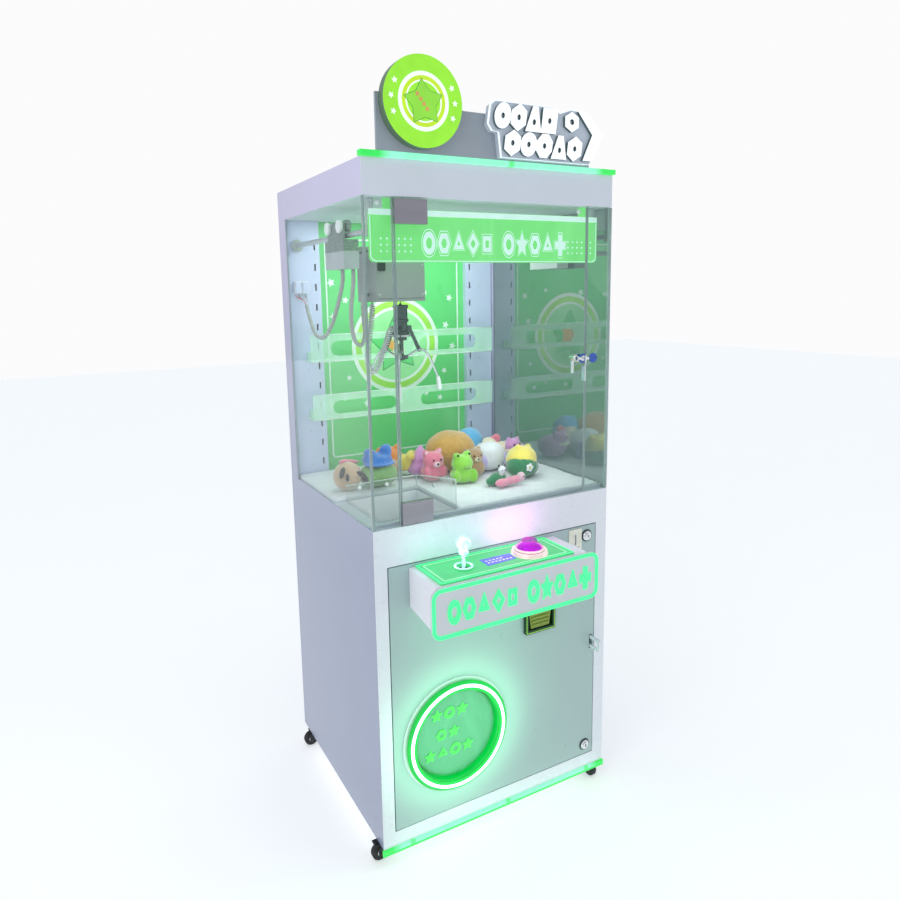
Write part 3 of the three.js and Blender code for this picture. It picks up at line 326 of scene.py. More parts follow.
# What several finishes share: even gloss paint, and the grain of small parts.
GLOSS = {"grain": 0.02, "fine": 420, "smudge": 0.35}
SMALL = {"patch": 40, "fine": 900}
M = {
    "panel": surface("panel_white", (0.80, 0.82, 0.88), 0.28, tone=0.012, Coat_Weight=0.25,
                     Coat_Roughness=0.14, **GLOSS),
    "header": surface(
        "header_white", (0.70, 0.73, 0.81), 0.6, tone=0.012, grain=0.01, fine=420, smudge=0.35,
        Specular_IOR_Level=0.15,
    ),
    "console": surface(
        "console_white", (0.94, 0.92, 0.99), 0.26, tone=0.01, grain=0.02, fine=420, smudge=0.3,
        Coat_Weight=0.4, Coat_Roughness=0.1,
    ),
    # The cabinet's sides: white paint darkened to grey-blue as painted shade, with more painted shade low
    # down.
    "side": shaded_side_paint("side_white_painted_shade", (0.295, 0.335, 0.475), (0.62, 0.575, 0.77), 0.9, 1.88),
    # The door's white paint is darkened and greened: painted shade from the console's overhang and painted
    # green light from the lit parts.
    "door": surface("door_white_painted_shade_green", (0.405, 0.53, 0.52), 0.3, tone=0.01, Coat_Weight=0.2, Coat_Roughness=0.16,
                    **GLOSS),
    "deck": surface("deck_sheet", (0.52, 0.58, 0.64), 0.4, 0.15, tone=0.04, grain=0.08, fine=500),
    "post": surface("post_white", (0.58, 0.65, 0.86), 0.38, tone=0.03, grain=0.06, fine=500),
    "grey": surface("grey_sheet", (0.30, 0.32, 0.33), 0.42, 0.35, grain=0.12, fine=600, stretch=(1, 1, 0.2)),
    "patch": surface("patch_plate", (0.33, 0.31, 0.35), 0.34, 0.65, tone=0.06, grain=0.2, fine=520,
                     stretch=(0.15, 1, 2)),
    "crane": surface("crane_box", (0.34, 0.37, 0.36), 0.45, 0.25, tone=0.06, grain=0.1, fine=650),
    "sign_back": surface("sign_board", (0.34, 0.38, 0.43), 0.35, tone=0.04),
    "backing": surface(
        "sign_backing", (0.44, 0.49, 0.56), 0.3, grain=0.06, Emission_Color=(0.75, 0.85, 1, 1),
        Emission_Strength=0.12,
    ),
    "sign_side": surface("sign_side", (0.10, 0.15, 0.15), 0.32, tone=0.08, grain=0.06),
    "rim": surface("roundel_rim", (0.10, 0.17, 0.10), 0.3, tone=0.08),
    "zinc": surface("zinc", (0.60, 0.63, 0.64), 0.34, 0.75, tone=0.03, patch=9, grain=0.04, fine=500),
    "chrome": surface("chrome", (0.75, 0.77, 0.79), 0.12, 1.0, tone=0.04, patch=40, grain=0.04, fine=300),
    "black": surface("black_steel", (0.018, 0.020, 0.024), 0.4, 0.3, tone=0.2, patch=30, grain=0.15),
    "dark": surface("dark_plastic", (0.03, 0.04, 0.045), 0.45, tone=0.15, grain=0.12),
    "rubber": surface("tyre_rubber", (0.022, 0.022, 0.024), 0.7, tone=0.25, grain=0.4, **SMALL),
    "nylon": surface("nylon_white", (0.86, 0.88, 0.88), 0.45, grain=0.1, **SMALL),
    "tip": surface("tip_sleeve", (0.60, 0.63, 0.63), 0.55, tone=0.08, patch=50, grain=0.15, fine=900),
    "sleeve": surface("cord_sleeve", (0.38, 0.40, 0.38), 0.27, tone=0.1, patch=30, grain=0.2, fine=800),
    "coil": surface("coil_grey", (0.60, 0.63, 0.62), 0.42, tone=0.08, patch=40, grain=0.12, fine=800),
    "string": surface("hoist_string", (0.10, 0.11, 0.11), 0.75, tone=0.3, patch=300, grain=0.7, fine=1800),
    "housing": surface("claw_housing", (0.10, 0.14, 0.13), 0.32, 0.7, tone=0.1, patch=50, grain=0.08),
    "brass": surface("coin_plate", (0.80, 0.80, 0.68), 0.38, 0.2, tone=0.07, patch=40, grain=0.15, fine=600),
    "coin_box": surface("coin_box_green", (0.006, 0.05, 0.012), 0.3, tone=0.12, patch=40, grain=0.06),
    "coin_flap": surface("coin_flap_lime", (0.22, 0.28, 0.02), 0.3, tone=0.1, patch=40, grain=0.06,
                         Coat_Weight=0.3),
    "key": surface("key_blue", (0.015, 0.08, 0.45), 0.3, tone=0.1, patch=60, Coat_Weight=0.4),
    "gimbal": surface("gimbal_black", (0.02, 0.02, 0.02), 0.5, tone=0.2, grain=0.2),
    "print": surface("panel_print", (0.13, 0.66, 0.20), 0.35, tone=0.06, patch=4, grain=0.04,
                     Coat_Weight=0.3),
    "fascia": surface("fascia_grey", (0.66, 0.68, 0.72), 0.4, tone=0.03, patch=5, Coat_Weight=0.3),
    "bead": surface("bead_black", (0.01, 0.01, 0.012), 0.12, tone=0.2, patch=80, grain=0.02, Coat_Weight=0.5),
    # The banner's print glows as painted light, standing in for the interior lamps shining through the banner.
    "banner_ink_painted_glow": lamp("banner_ink_painted_glow", (0.62, 0.95, 0.86), 0.52, (0.5, 0.6, 0.55)),
    "flap_ink": lamp("flap_ink", (0.04, 0.72, 0.07), 0.75, (0.05, 0.4, 0.05)),
    "stem": lamp("stem_cyan", (0.12, 0.85, 0.88), 0.85),
    "header_led": strip_lamp("header_led", 1.949, 1.968, 0.325, (0.035,)),
    "base_led": strip_lamp("base_led", 0.0505, 0.0635, 0.345, (-0.31, 0.02, 0.33)),
    "ring_led": lamp("ring_led", (0.38, 1.0, 0.60), 6.0),
    "ring_green": lamp("ring_green", (0.0, 0.60, 0.07), 0.62, ripple=0.15),
    "fascia_led": lamp("fascia_led", (0.06, 0.95, 0.32), 1.0),
    "console_top": lamp("console_top", (0.06, 0.54, 0.18), 0.8, (0.05, 0.30, 0.10)),
    "console_line": lamp("console_line", (0.45, 1.0, 0.62), 0.85),
    "screen": lamp("screen_violet", (0.13, 0.16, 0.85), 0.8, ripple=0.3),
    "digits": lamp("screen_marks", (0.62, 0.66, 1.0), 1.3),
    "marquee": lamp("marquee_white", (0.88, 0.93, 0.97), 0.50, (0.85, 0.88, 0.9)),
    "roundel": lamp("roundel_lime", (0.33, 0.86, 0.04), 0.62, (0.16, 0.42, 0.02)),
    "roundel_white": lamp("roundel_white", (0.85, 1.0, 0.85), 0.55, (0.6, 0.65, 0.6)),
    "roundel_yellow": lamp("roundel_yellow", (0.55, 0.86, 0.02), 0.6, (0.3, 0.42, 0.02)),
    "roundel_leaf": lamp("roundel_leaf", (0.26, 0.70, 0.05), 0.5, (0.2, 0.5, 0.04)),
    "pink": lamp("button_pink", (0.52, 0.005, 0.80), 0.8, (0.06, 0.0, 0.06), 0.35),
    "amber": lamp("button_amber", (1.0, 0.70, 0.74), 0.62, (0.6, 0.45, 0.42), 0.3),
    "crystal": crystal("crystal_lit"),
    "glass": pane("clear_glass", (0.97, 0.99, 0.985), mirror=0.55, sheen=0.015),
    "glass_far": side_glass("side_glass", -0.2575),
    # The edges' faint glow is painted light.
    "edge": pane(
        "glass_edge", (0.50, 0.60, 0.58), haze=0.5, haze_colour=(0.40, 0.50, 0.50), mirror=2.0, sheen=0.08,
        glow=0.02,
    ),
    "chute": chute_acrylic("chute_acrylic", 1.003),
    # The shelves' faint glow is painted light.
    "milky": pane("milky_acrylic", (0.92, 0.97, 0.94), haze=0.32, haze_colour=(0.62, 0.92, 0.74), glow=0.05),
    "acrylic_edge": pane("acrylic_edge", (0.9, 0.95, 0.93), haze=0.6, haze_colour=(0.85, 0.95, 0.92)),
    "flap": pane("flap_green", (0.55, 0.92, 0.66), haze=0.5, haze_colour=(0.17, 0.38, 0.28), rough=0.15),
    # The banner's glow is painted light, standing in for the interior lamps shining through it.
    "banner": pane("banner_green", (0.10, 0.62, 0.20), haze=0.62, haze_colour=(0.24, 0.75, 0.25), rough=0.1,
                   glow=0.38),
    "dome": pane("button_dome", (1.0, 0.66, 0.96), haze=0.03, haze_colour=(1.0, 0.30, 0.90), mirror=0.4,
                 sheen=0.01),
    "truck": truck_paint("bridge_truck", 1.737),
}
for ink, colour, tone in (
    ("ink_white", (0.80, 0.90, 0.84), 0.04), ("ink_lime", (0.38, 0.78, 0.10), 0.05),
    ("ink_orange", (0.86, 0.42, 0.13), 0.06), ("ink_pale", (0.34, 0.80, 0.36), 0.05),
    ("ink_deep", (0.03, 0.30, 0.08), 0.05),
):
    M[ink] = surface(ink, colour, tone=tone, patch=20, grain=0.04)


# ---- Mesh helpers ----


def new_object(name, mesh, material, body, smooth=True):
    mesh.materials.clear()
    mesh.materials.append(M[material] if isinstance(material, str) else material)
    for polygon in mesh.polygons:
        polygon.use_smooth = smooth
    obj = link(bpy.data.objects.new(name, mesh))
    if body:
        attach(obj, body)
    return obj


def from_bmesh(name, bm, material, body, smooth=True):
    bmesh.ops.recalc_face_normals(bm, faces=bm.faces)
    mesh = bpy.data.meshes.new(name)
    bm.to_mesh(mesh)
    bm.free()
    return new_object(name, mesh, material, body, smooth)


def baked(obj):
    """The object's mesh with its modifiers, or a curve's filled surface; the object itself goes."""
    bpy.context.view_layer.update()
    graph = bpy.context.evaluated_depsgraph_get()
    mesh = bpy.data.meshes.new_from_object(obj.evaluated_get(graph), depsgraph=graph)
    bpy.data.objects.remove(obj)
    return mesh


def flat(name, loops, level, depth, material, body="cabinet", top=False, bevel=0.0):
    """A plate cut from closed outlines in mm, where inner loops are holes.

    It faces forward, or up when it lies on top; level is the place of its outer face, and depth its thickness.
    """
    curve = bpy.data.curves.new(name, "CURVE")
    curve.dimensions = "2D"
    curve.fill_mode = "BOTH"
    curve.extrude = (depth / 2 - bevel) * MM
    curve.bevel_depth = bevel * MM
    curve.bevel_resolution = 2
    for loop in loops:
        edge = curve.splines.new("POLY")
        edge.points.add(len(loop) - 1)
        for point, (u, v) in zip(edge.points, loop):
            point.co = (u * MM, v * MM, 0, 1)
        edge.use_cyclic_u = True
    mesh = baked(link(bpy.data.objects.new(name + "_outline", curve)))
    bpy.data.curves.remove(curve)
    if top:
        place = Matrix.Translation(at(0, 0, level - depth / 2))
    else:
        upright = Matrix(((1, 0, 0), (0, 0, -1), (0, 1, 0))).to_4x4()
        place = Matrix.Translation(at(0, level + depth / 2, 0)) @ upright
    mesh.transform(place)
    return new_object(name, mesh, material, body, smooth=False)


def circle(x, z, r, steps=48, start=0.0):
    """Even steps once round a centre."""
    angles = [start + 2 * math.pi * i / steps for i in range(steps)]
    return [(x + r * math.cos(a), z + r * math.sin(a)) for a in angles]


def star(x, z, r, turn=0.0, waist=0.48):
    """Five points; the inner corners lie at the waist's share of the reach."""
    loop = []
    for i in range(10):
        a = turn + math.pi / 2 + math.pi * i / 5
        reach = r if i % 2 == 0 else r * waist
        loop.append((x + reach * math.cos(a), z + reach * math.sin(a)))
    return loop


def rounded(x0, x1, z0, z1, r, steps=6):
    loop = []
    for cx, cz, start in ((x1 - r, z1 - r, 0), (x0 + r, z1 - r, 90), (x0 + r, z0 + r, 180),
                          (x1 - r, z0 + r, 270)):
        for i in range(steps + 1):
            a = math.radians(start + 90 * i / steps)
            loop.append((cx + r * math.cos(a), cz + r * math.sin(a)))
    return loop


def frame_loops(x0, x1, z0, z1, r, width):
    """The outlines of a frame of even width with rounded corners."""
    inner = rounded(x0 + width, x1 - width, z0 + width, z1 - width, max(0.5, r - width))
    return [rounded(x0, x1, z0, z1, r), inner]


def ring(bm, centre, side, other, r, steps):
    """Vertices on a circle in the plane of two directions; r in mm, the rest in metres."""
    angles = [2 * math.pi * i / steps for i in range(steps)]
    return [bm.verts.new(centre + (side * math.cos(a) + other * math.sin(a)) * r * MM) for a in angles]


def skin(bm, rings, steps):
    """Faces between neighbouring rings of vertices; a ring of one vertex is a pole."""
    for a, b in zip(rings, rings[1:]):
        for i in range(steps):
            j = (i + 1) % steps
            corners = list(dict.fromkeys((a[i % len(a)], a[j % len(a)], b[j % len(b)], b[i % len(b)])))
            if len(corners) > 2:
                bm.faces.new(corners)


def lathe(name, profile, centre, axis, material, body="cabinet", steps=48):
    """A turned piece: profile points are (radius, height) in mm along the axis from the centre."""
    axis = Vector(axis)
    side = axis.orthogonal().normalized()
    other = axis.cross(side)
    bm = bmesh.new()
    rings = []
    for r, h in profile:
        middle = at(*centre) + axis * h * MM
        rings.append(ring(bm, middle, side, other, r, steps) if r else [bm.verts.new(middle)])
    skin(bm, rings, steps)
    obj = from_bmesh(name, bm, material, body)
    obj.modifiers.new("edges", "EDGE_SPLIT").split_angle = SHARP


def carried(points):
    """Each point with two directions square to the path, carried along it without twist."""
    side = None
    for i, p in enumerate(points):
        ahead = (points[min(i + 1, len(points) - 1)] - points[max(i - 1, 0)]).normalized()
        side = ahead.orthogonal() if side is None else side
        side = (side - ahead * side.dot(ahead)).normalized()
        yield p, side, ahead.cross(side)


def tube(name, points, radius, material, body="cabinet", sides=10):
    """A round bar along points in metres; radius in mm, one number or one for each point."""
    bm = bmesh.new()
    radii = radius if isinstance(radius, list) else [radius] * len(points)
    rings = [ring(bm, p, side, other, r, sides) for (p, side, other), r in zip(carried(points), radii)]
    skin(bm, rings, sides)
    bm.faces.new(rings[0])
    bm.faces.new(rings[-1])
    return from_bmesh(name, bm, material, body)


def rod(name, start, end, radius, material, body="cabinet", sides=8):
    """A straight tube between two places in mm."""
    a, b = at(*start), at(*end)
    tube(name, [a.lerp(b, i / 8) for i in range(9)], radius, material, body, sides)


def path_length(points):
    """In metres."""
    return sum((b - a).length for a, b in zip(points, points[1:]))


def resample(points, stations):
    """The places at given distances along a path."""
    result, walked, index = [], 0.0, 0
    for s in stations:
        while index < len(points) - 2 and walked + (points[index + 1] - points[index]).length < s:
            walked += (points[index + 1] - points[index]).length
            index += 1
        part = (points[index + 1] - points[index]).length
        result.append(points[index].lerp(points[index + 1], min(1.0, (s - walked) / part)))
    return result


def spline(route, step):
    """Points along the centripetal curve through a route in mm, a step in metres apart."""
    given = [at(*p) for p in route]
    given = [given[0] * 2 - given[1]] + given + [given[-1] * 2 - given[-2]]
    fine = []
    for a, b, c, d in zip(given, given[1:], given[2:], given[3:]):
        t1 = math.sqrt((b - a).length)
        t2 = t1 + math.sqrt((c - b).length)
        t3 = t2 + math.sqrt((d - c).length)
        for i in range(24):
            t = t1 + (t2 - t1) * i / 24
            ab = a.lerp(b, t / t1)
            bc = b.lerp(c, (t - t1) / (t2 - t1))
            cd = c.lerp(d, (t - t2) / (t3 - t2))
            fine.append(ab.lerp(bc, t / t2).lerp(bc.lerp(cd, (t - t1) / (t3 - t1)), (t - t1) / (t2 - t1)))
    fine.append(given[-2])
    total = path_length(fine)
    count = max(2, round(total / step))
    return resample(fine, [total * i / count for i in range(count + 1)])


# ---- Cords ----

BRIDGE_HARNESS = [
    (-360, -104, 1688.8), (-360, -103, 1660), (-364, -20, 1540), (-362, 70, 1492), (-358, 150, 1496),
    (-350, 225, 1540), (-342, 284, 1596), (-341, 290, 1626.5),
]
TROLLEY_HARNESS = [
    (-346, -150, 1688.8), (-347, -150, 1655), (-357, -148, 1560), (-346, -144, 1492), (-327, -138, 1477),
    (-310, -128, 1500), (-308, -118, 1570), (-303, -110, 1608), (-296, -108, 1618), (-286.4, -108, 1618),
]
CLAW_CORD = [
    (-218.8, -138.6, 1521), (-233, -141, 1518), (-254, -142, 1470), (-276, -138, 1414), (-289, -130, 1398),
    (-297, -119, 1414), (-291, -108, 1470), (-275, -101, 1550), (-272, -100, 1576), (-272, -100, 1596.8),
]
HOUSING_X = (-365, -341)
LEAD_COLOURS = [
    (0.7, 0.03, 0.02), (0.75, 0.45, 0.05), (0.03, 0.03, 0.03), (0.7, 0.7, 0.68), (0.6, 0.1, 0.3),
    (0.1, 0.35, 0.1),
]


def make_harness(name, path):
    piece = tube(name + "_sleeve", path, 5.9, "sleeve", None, 16)
    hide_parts(name)
    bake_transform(piece)
    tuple(path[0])
    path_length(path)


def make_leads():
    """Coloured leads that leave the bridge harness, three into each white housing on the rear post."""
    made = []
    for i, colour in enumerate(LEAD_COLOURS):
        group, place = divmod(i, 3)
        end = (HOUSING_X[group] + (place - 1) * 5, 304 if place == 1 else 301, 1628.5)
        bow = (-352, -338)[group]
        route = [(-343 + i * 0.8, 278 + place, 1586), (bow, 284, 1603), (end[0], end[1] - 2, 1617), end]
        ink = surface(f"lead_{i + 1}", colour, 0.4, tone=0.1, patch=60, grain=0.05)
        wire = tube(f"harness_lead_{i + 1}", spline(route, 0.002), 1.1, ink, None, 8)
        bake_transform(wire)
        made.append(wire)
    return made


def make_harnesses():
    pieces = make_leads()
    for number, x in enumerate(HOUSING_X, 1):
        outline = rounded(x - 10.6, x + 10.6, 1626, 1664, 2)
        pieces.append(flat(f"harness_housing_{number}", [outline], 286.5, 18, "nylon", bevel=1))
    path = spline(BRIDGE_HARNESS, 0.006)
    # The sleeve stops 38 mm below the housings, where the leads come out of it.
    path = [p for p in path if p.z < path[-1].z - 38 * MM or p.y < path[-1].y - 0.03]
    make_harness("bridge_harness", path)
    make_harness("trolley_harness", spline(TROLLEY_HARNESS, 0.006))


make_harnesses()


def make_coil_cord():
    """The curly lead: a thin round cord wound in a helix along its hanging route."""
    wire, radius, pitch, per_turn = 4.0, 7.4, 6.6, 14
    straight = 21  # steps at either end in which the coil opens up
    middle = spline(CLAW_CORD, pitch * MM / per_turn)
    path = []
    for i, (p, side, other) in enumerate(carried(middle)):
        a = 2 * math.pi * i / per_turn
        open_up = min(1.0, i / straight, (len(middle) - 1 - i) / straight)
        grow = radius * MM * open_up * open_up * (3 - 2 * open_up)
        path.append(p + (side * math.cos(a) + other * math.sin(a)) * grow)
    piece = tube("claw_curly_cord", path, wire / 2, "coil", None, 8)
    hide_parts("claw_coil_cord")
    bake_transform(piece)
    path_length(path)


make_coil_cord()


def make_hoist_cord():
    foot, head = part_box("hoist_cord")
    x, y = (foot.x + head.x) / 2, (foot.y + head.y) / 2
    path = [Vector((x, y, head.z + (foot.z - 0.003 - head.z) * i / 20)) for i in range(21)]
    piece = tube("hoist_string", path, 1.5, "string", None, 10)
    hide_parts("hoist_cord")
    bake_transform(piece)
    path_length(path)


make_hoist_cord()


# ---- CAD nodes: edges, shading and finishes ----

# The finish of each node, and the width in mm of its softened edges.
FINISHES = {
    "base_frame": ("panel", 1.0), "cabinet_shell": ("side", 0.0), "play_deck": ("deck", 0.8),
    "header_housing": ("header", 1.2), "rear_frame": ("post", 0.5), "rear_display_panel": ("print", 0.0),
    "electronics_box": ("grey", 0.8), "header_light_strip": ("header_led", 1.0),
    "base_light_strip": ("base_led", 1.0), "left_glazing": ("glass", 0.0),
    "right_glazing": ("glass_far", 0.0), "glass_door": ("glass", 0.0), "glass_door_lock": ("chrome", 0.4),
    "banner_panel": ("banner", 0.0), "shelf_lower": ("milky", 0.0), "shelf_upper": ("milky", 0.0),
    "prize_chute": ("chute", 0.0), "sign_board": ("sign_back", 0.8), "roundel": ("rim", 0.8),
    "marquee_sign": ("backing", 0.8), "runway_frame": ("zinc", 0.5), "bridge": ("truck", 0.8),
    "trolley": ("crane", 1.2), "hoist_drum": ("nylon", 0.4), "claw_head": ("housing", 0.4),
    "claw_plunger": ("housing", 0.0), "link_1": ("housing", 0.4), "link_2": ("housing", 0.4),
    "link_3": ("housing", 0.4), "service_door": ("door", 1.0), "console_housing": ("console", 1.2),
    "console_top_panel": ("console_top", 0.5), "console_fascia": ("fascia", 1.0),
    "joystick_gimbal": ("gimbal", 0.5), "joystick": ("crystal", 0.0), "push_button": ("dome", 0.0),
    "prize_ring": ("ring_green", 0.6), "prize_flap": ("flap", 0.0), "coin_acceptor": ("brass", 0.5),
    "coin_return_box": ("coin_box", 1.0), "coin_return_flap": ("coin_flap", 0.6),
    "door_lock_upper": ("chrome", 0.5), "door_lock_lower": ("chrome", 0.5),
}
for corner in CORNERS:
    FINISHES["caster_fork_" + corner] = ("black", 0.5)
    FINISHES["caster_wheel_" + corner] = ("rubber", 0.6)


def dress(name, material, bevel):
    """Gives a CAD node its finish, and modifiers that soften its edges without moving its own points."""
    obj = NODES[name]
    mesh = obj.data
    if "custom_normal" in mesh.attributes:
        mesh.attributes.remove(mesh.attributes["custom_normal"])
    mesh.materials.clear()
    mesh.materials.append(M[material])
    for polygon in mesh.polygons:
        polygon.use_smooth = True
    obj.modifiers.new("weld", "WELD").merge_threshold = 0.00002
    if not bevel:
        obj.modifiers.new("edges", "EDGE_SPLIT").split_angle = SHARP
        return
    planar = obj.modifiers.new("planar", "DECIMATE")
    planar.decimate_type = "DISSOLVE"
    planar.angle_limit = math.radians(0.8)
    edges = obj.modifiers.new("bevel", "BEVEL")
    edges.width = bevel * MM
    edges.segments = 2
    edges.limit_method = "ANGLE"
    edges.angle_limit = math.radians(32)
    edges.use_clamp_overlap = True
    obj.modifiers.new("normals", "WEIGHTED_NORMAL").weight = 100


for node_name, (finish_name, softness) in FINISHES.items():
    dress(node_name, finish_name, softness)
NODES["joystick"].modifiers["edges"].split_angle = math.radians(12)


# ---- Printed and lit shapes ----


def moved(loop, x, z, size, slant=0.0, wide=1.0):
    """An outline one unit high, scaled, slanted and put at a place."""
    return [(x + u * size * wide + v * size * slant, z + v * size) for u, v in loop]


def grown(loop, amount):
    """The same outline, its farthest point an amount farther out."""
    cx = sum(u for u, _ in loop) / len(loop)
    cz = sum(v for _, v in loop) / len(loop)
    scale = 1 + amount / max(math.hypot(u - cx, v - cz) for u, v in loop)
    return [(cx + (u - cx) * scale, cz + (v - cz) * scale) for u, v in loop]


def hollow(sides, weight, turn=0.0):
    """A regular outline and its hole; weight is the share of the reach that the line takes."""
    outer = circle(0, 0, 0.5, sides, turn)
    return [outer, [(u * (1 - weight), v * (1 - weight)) for u, v in outer]]


# Plain shapes, one unit high, each under the mark that stands for it in a row.
GLYPHS = {
    "o": hollow(24, 0.52), "^": hollow(3, 0.68, math.pi / 2), "*": [star(0, 0, 0.56, 0, 0.5)],
    "#": hollow(4, 0.55, math.pi / 4), "<": hollow(4, 0.55), "6": hollow(6, 0.54),
    "+": [[(-0.18, -0.5), (0.18, -0.5), (0.18, -0.18), (0.5, -0.18), (0.5, 0.18), (0.18, 0.18), (0.18, 0.5),
           (-0.18, 0.5), (-0.18, 0.18), (-0.5, 0.18), (-0.5, -0.18), (-0.18, -0.18)]],
}


def glyph_row(first, second, x0, x1, z, size, gap, wide):
    """Loops of two groups of plain shapes spread from x0 to x1, with a gap between the groups."""
    order = first + second
    step = (x1 - x0 - gap - size * wide) / (len(order) - 1)
    loops = []
    for i, mark in enumerate(order):
        x = x0 + size * wide / 2 + i * step + (gap if i >= len(first) else 0)
        loops += [moved(loop, x, z, size, 0.0, wide) for loop in GLYPHS[mark]]
    return loops


def band(name, x, z, outer, inner, level, ink, body="cabinet", depth=0.4, steps=72):
    """A flat ring."""
    flat(name, [circle(x, z, outer, steps), circle(x, z, inner, steps)], level, depth, ink, body)


def make_roundel():
    x, z = ROUNDEL_X, ROUNDEL_Z
    flat("roundel_face", [circle(x, z, 108.4, 96)], -391.6, 1.5, "roundel", bevel=0.5)
    bands = (("white", 70, 60, "white"), ("yellow", 60, 50, "yellow"), ("inner", 50, 46, "white"))
    for name, outer, inner, ink in bands:
        band("roundel_band_" + name, x, z, outer, inner, -392.1, "roundel_" + ink, depth=0.5, steps=64)
    angles = [math.radians(degrees) for degrees in (152, 176, 200, -22, 2, 26)]
    stars = [star(x + 88 * math.cos(a), z + 88 * math.sin(a), 8.5, a) for a in angles]
    flat("roundel_stars", stars, -392.1, 0.5, "roundel_white")
    flat("roundel_motif_line", [star(x, z - 3, 57, 0.1, 0.6)], -392.5, 0.4, "ink_deep")
    flat("roundel_motif", [star(x, z - 3, 55, 0.1, 0.6)], -392.9, 0.4, "roundel_leaf")
    crest = [star(x - 18 + i * 9, z + 16 - i * 11, 7, 0.3 * i, 0.55) for i in range(4)]
    flat("roundel_crest", crest, -393.3, 0.4, "ink_orange")


make_roundel()

MARQUEE = [
    (-52, 2050), (-44, 2098), (-32, 2107), (152, 2107), (176, 2094), (214, 2107), (262, 2104), (320, 2046),
    (280, 1972), (-12, 1972), (-20, 2032), (-40, 2034),
]
BLOCKS = {
    "o": circle(0, 0, 0.5, 28), "^": [(-0.5, -0.5), (0.5, -0.5), (0.16, 0.5), (-0.16, 0.5)],
    "#": [(-0.48, -0.5), (0.48, -0.5), (0.48, 0.5), (-0.48, 0.5)],
    "6": circle(0, 0, 0.54, 6, math.pi / 6), "8": circle(0, 0, 0.54, 8, math.pi / 8),
}


def block(kind, x, z, wide, high):
    """A heavy slanted block with a small hole."""
    hole = circle(0, -0.12 if kind == "^" else 0, 0.13, 14)
    return [moved(loop, x, z, high, 0.14, wide / high) for loop in (BLOCKS[kind], hole)]


def make_marquee():
    """Two staggered rows of bold white blocks, a nut and a pointed end, on a backing with a lit rim."""
    loops = []
    for i, kind in enumerate("o6^#"):
        loops += block(kind, -17 + i * 50, 2070, 50, 64)
    for i, kind in enumerate("6o8^6"):
        loops += block(kind, 13 + i * 51.5, 2004.5, 51, 61)
    loops += [circle(209, 2074, 26, 6, math.pi / 6), circle(209, 2074, 9, 6, math.pi / 6)]
    loops += [[(232, 2103), (261, 2102), (316, 2046), (280, 1976), (248, 1976), (282, 2046)]]
    flat("marquee_sides", loops, -399.5, 9.1, "sign_side", bevel=0.4)
    flat("marquee_shapes", loops, -401.6, 2.0, "marquee", bevel=0.5)
    x, z = 134, 2040
    rim = [(x + (u - x) * 1.022, z + (v - z) * 1.05) for u, v in MARQUEE]
    flat("marquee_rim", [rim, MARQUEE], -386.0, 3, "marquee")


make_marquee()


def make_display_print():
    """The printed back panel: frame line, rings round a star, and scattered stars."""
    flat("print_frame", frame_loops(-259, 259, 1050, 1806, 16, 5), PRINT_Y, 0.4, "ink_white")
    rings = (("outer", 172, 158, "white"), ("lime", 158, 136, "lime"), ("inner", 136, 126, "white"))
    for name, outer, inner, ink in rings:
        band("print_ring_" + name, 0, MOTIF_Z, outer, inner, PRINT_Y, "ink_" + ink)
    flat("print_disc", [circle(0, MOTIF_Z, 126, 72)], PRINT_Y, 0.4, "ink_pale")
    for name, reach, turn, lift, ink in (
        ("print_motif_line", 106, 0.08, 0.5, "ink_deep"), ("print_motif", 101, 0.08, 0.9, "print"),
        ("print_motif_heart", 46, 0.3, 1.3, "ink_orange"),
    ):
        flat(name, [star(0, MOTIF_Z, reach, turn, 0.56)], PRINT_Y - lift, 0.4, ink)
    places = [
        (-236, 1545), (-205, 1262), (-228, 1400), (-186, 1330), (-120, 1234), (-60, 1610), (-190, 1600),
        (14, 1232), (118, 1250), (196, 1330), (232, 1420), (205, 1500), (222, 1600), (120, 1620),
        (176, 1230), (-240, 1660),
    ]
    draw = random.Random(5)
    stars = [star(x, z, draw.uniform(11, 16), draw.uniform(-0.5, 0.5), 0.5) for x, z in places]
    flat("print_stars", stars, PRINT_Y, 0.4, "ink_white")


make_display_print()


def make_banner_print():
    flat("banner_band", [rounded(-370, 370, 1818, 1833, 2)], BANNER_Y, 0.4, "banner_ink_painted_glow")
    half = [(354, 1702.5), (363, 1706), (368, 1716), (368, 1816)]
    line = [(-x, z) for x, z in half[::-1]] + half
    inner = [(x * 0.9935, z + (2.2 if z < 1710 else 0)) for x, z in line]
    flat("banner_line", [line + inner[::-1]], BANNER_Y, 0.4, "banner_ink_painted_glow")
    dots = [(x + i * 17, 1728 + k * 16) for x in (-338, 262) for i in range(6) for k in range(3)]
    flat("banner_dots", [circle(x, z, 2.7, 10) for x, z in dots], BANNER_Y, 0.4, "banner_ink_painted_glow")
    row = glyph_row("o6^<#", "o*6^+", -218, 252, 1750, 60, 26, 0.62)
    flat("banner_shapes", row, BANNER_Y - 0.3, 0.4, "banner_ink_painted_glow")
    outlines = [loop for loop in row if max(v for _, v in loop) - min(v for _, v in loop) > 38]
    for i, loop in enumerate(outlines, 1):
        edge = grown(loop, 5)
        flat(f"banner_outline_{i}", [grown(edge, 2.2), edge], BANNER_Y - 0.1, 0.3, "banner_ink_painted_glow")


make_banner_print()


# ---- Console, door and locks ----


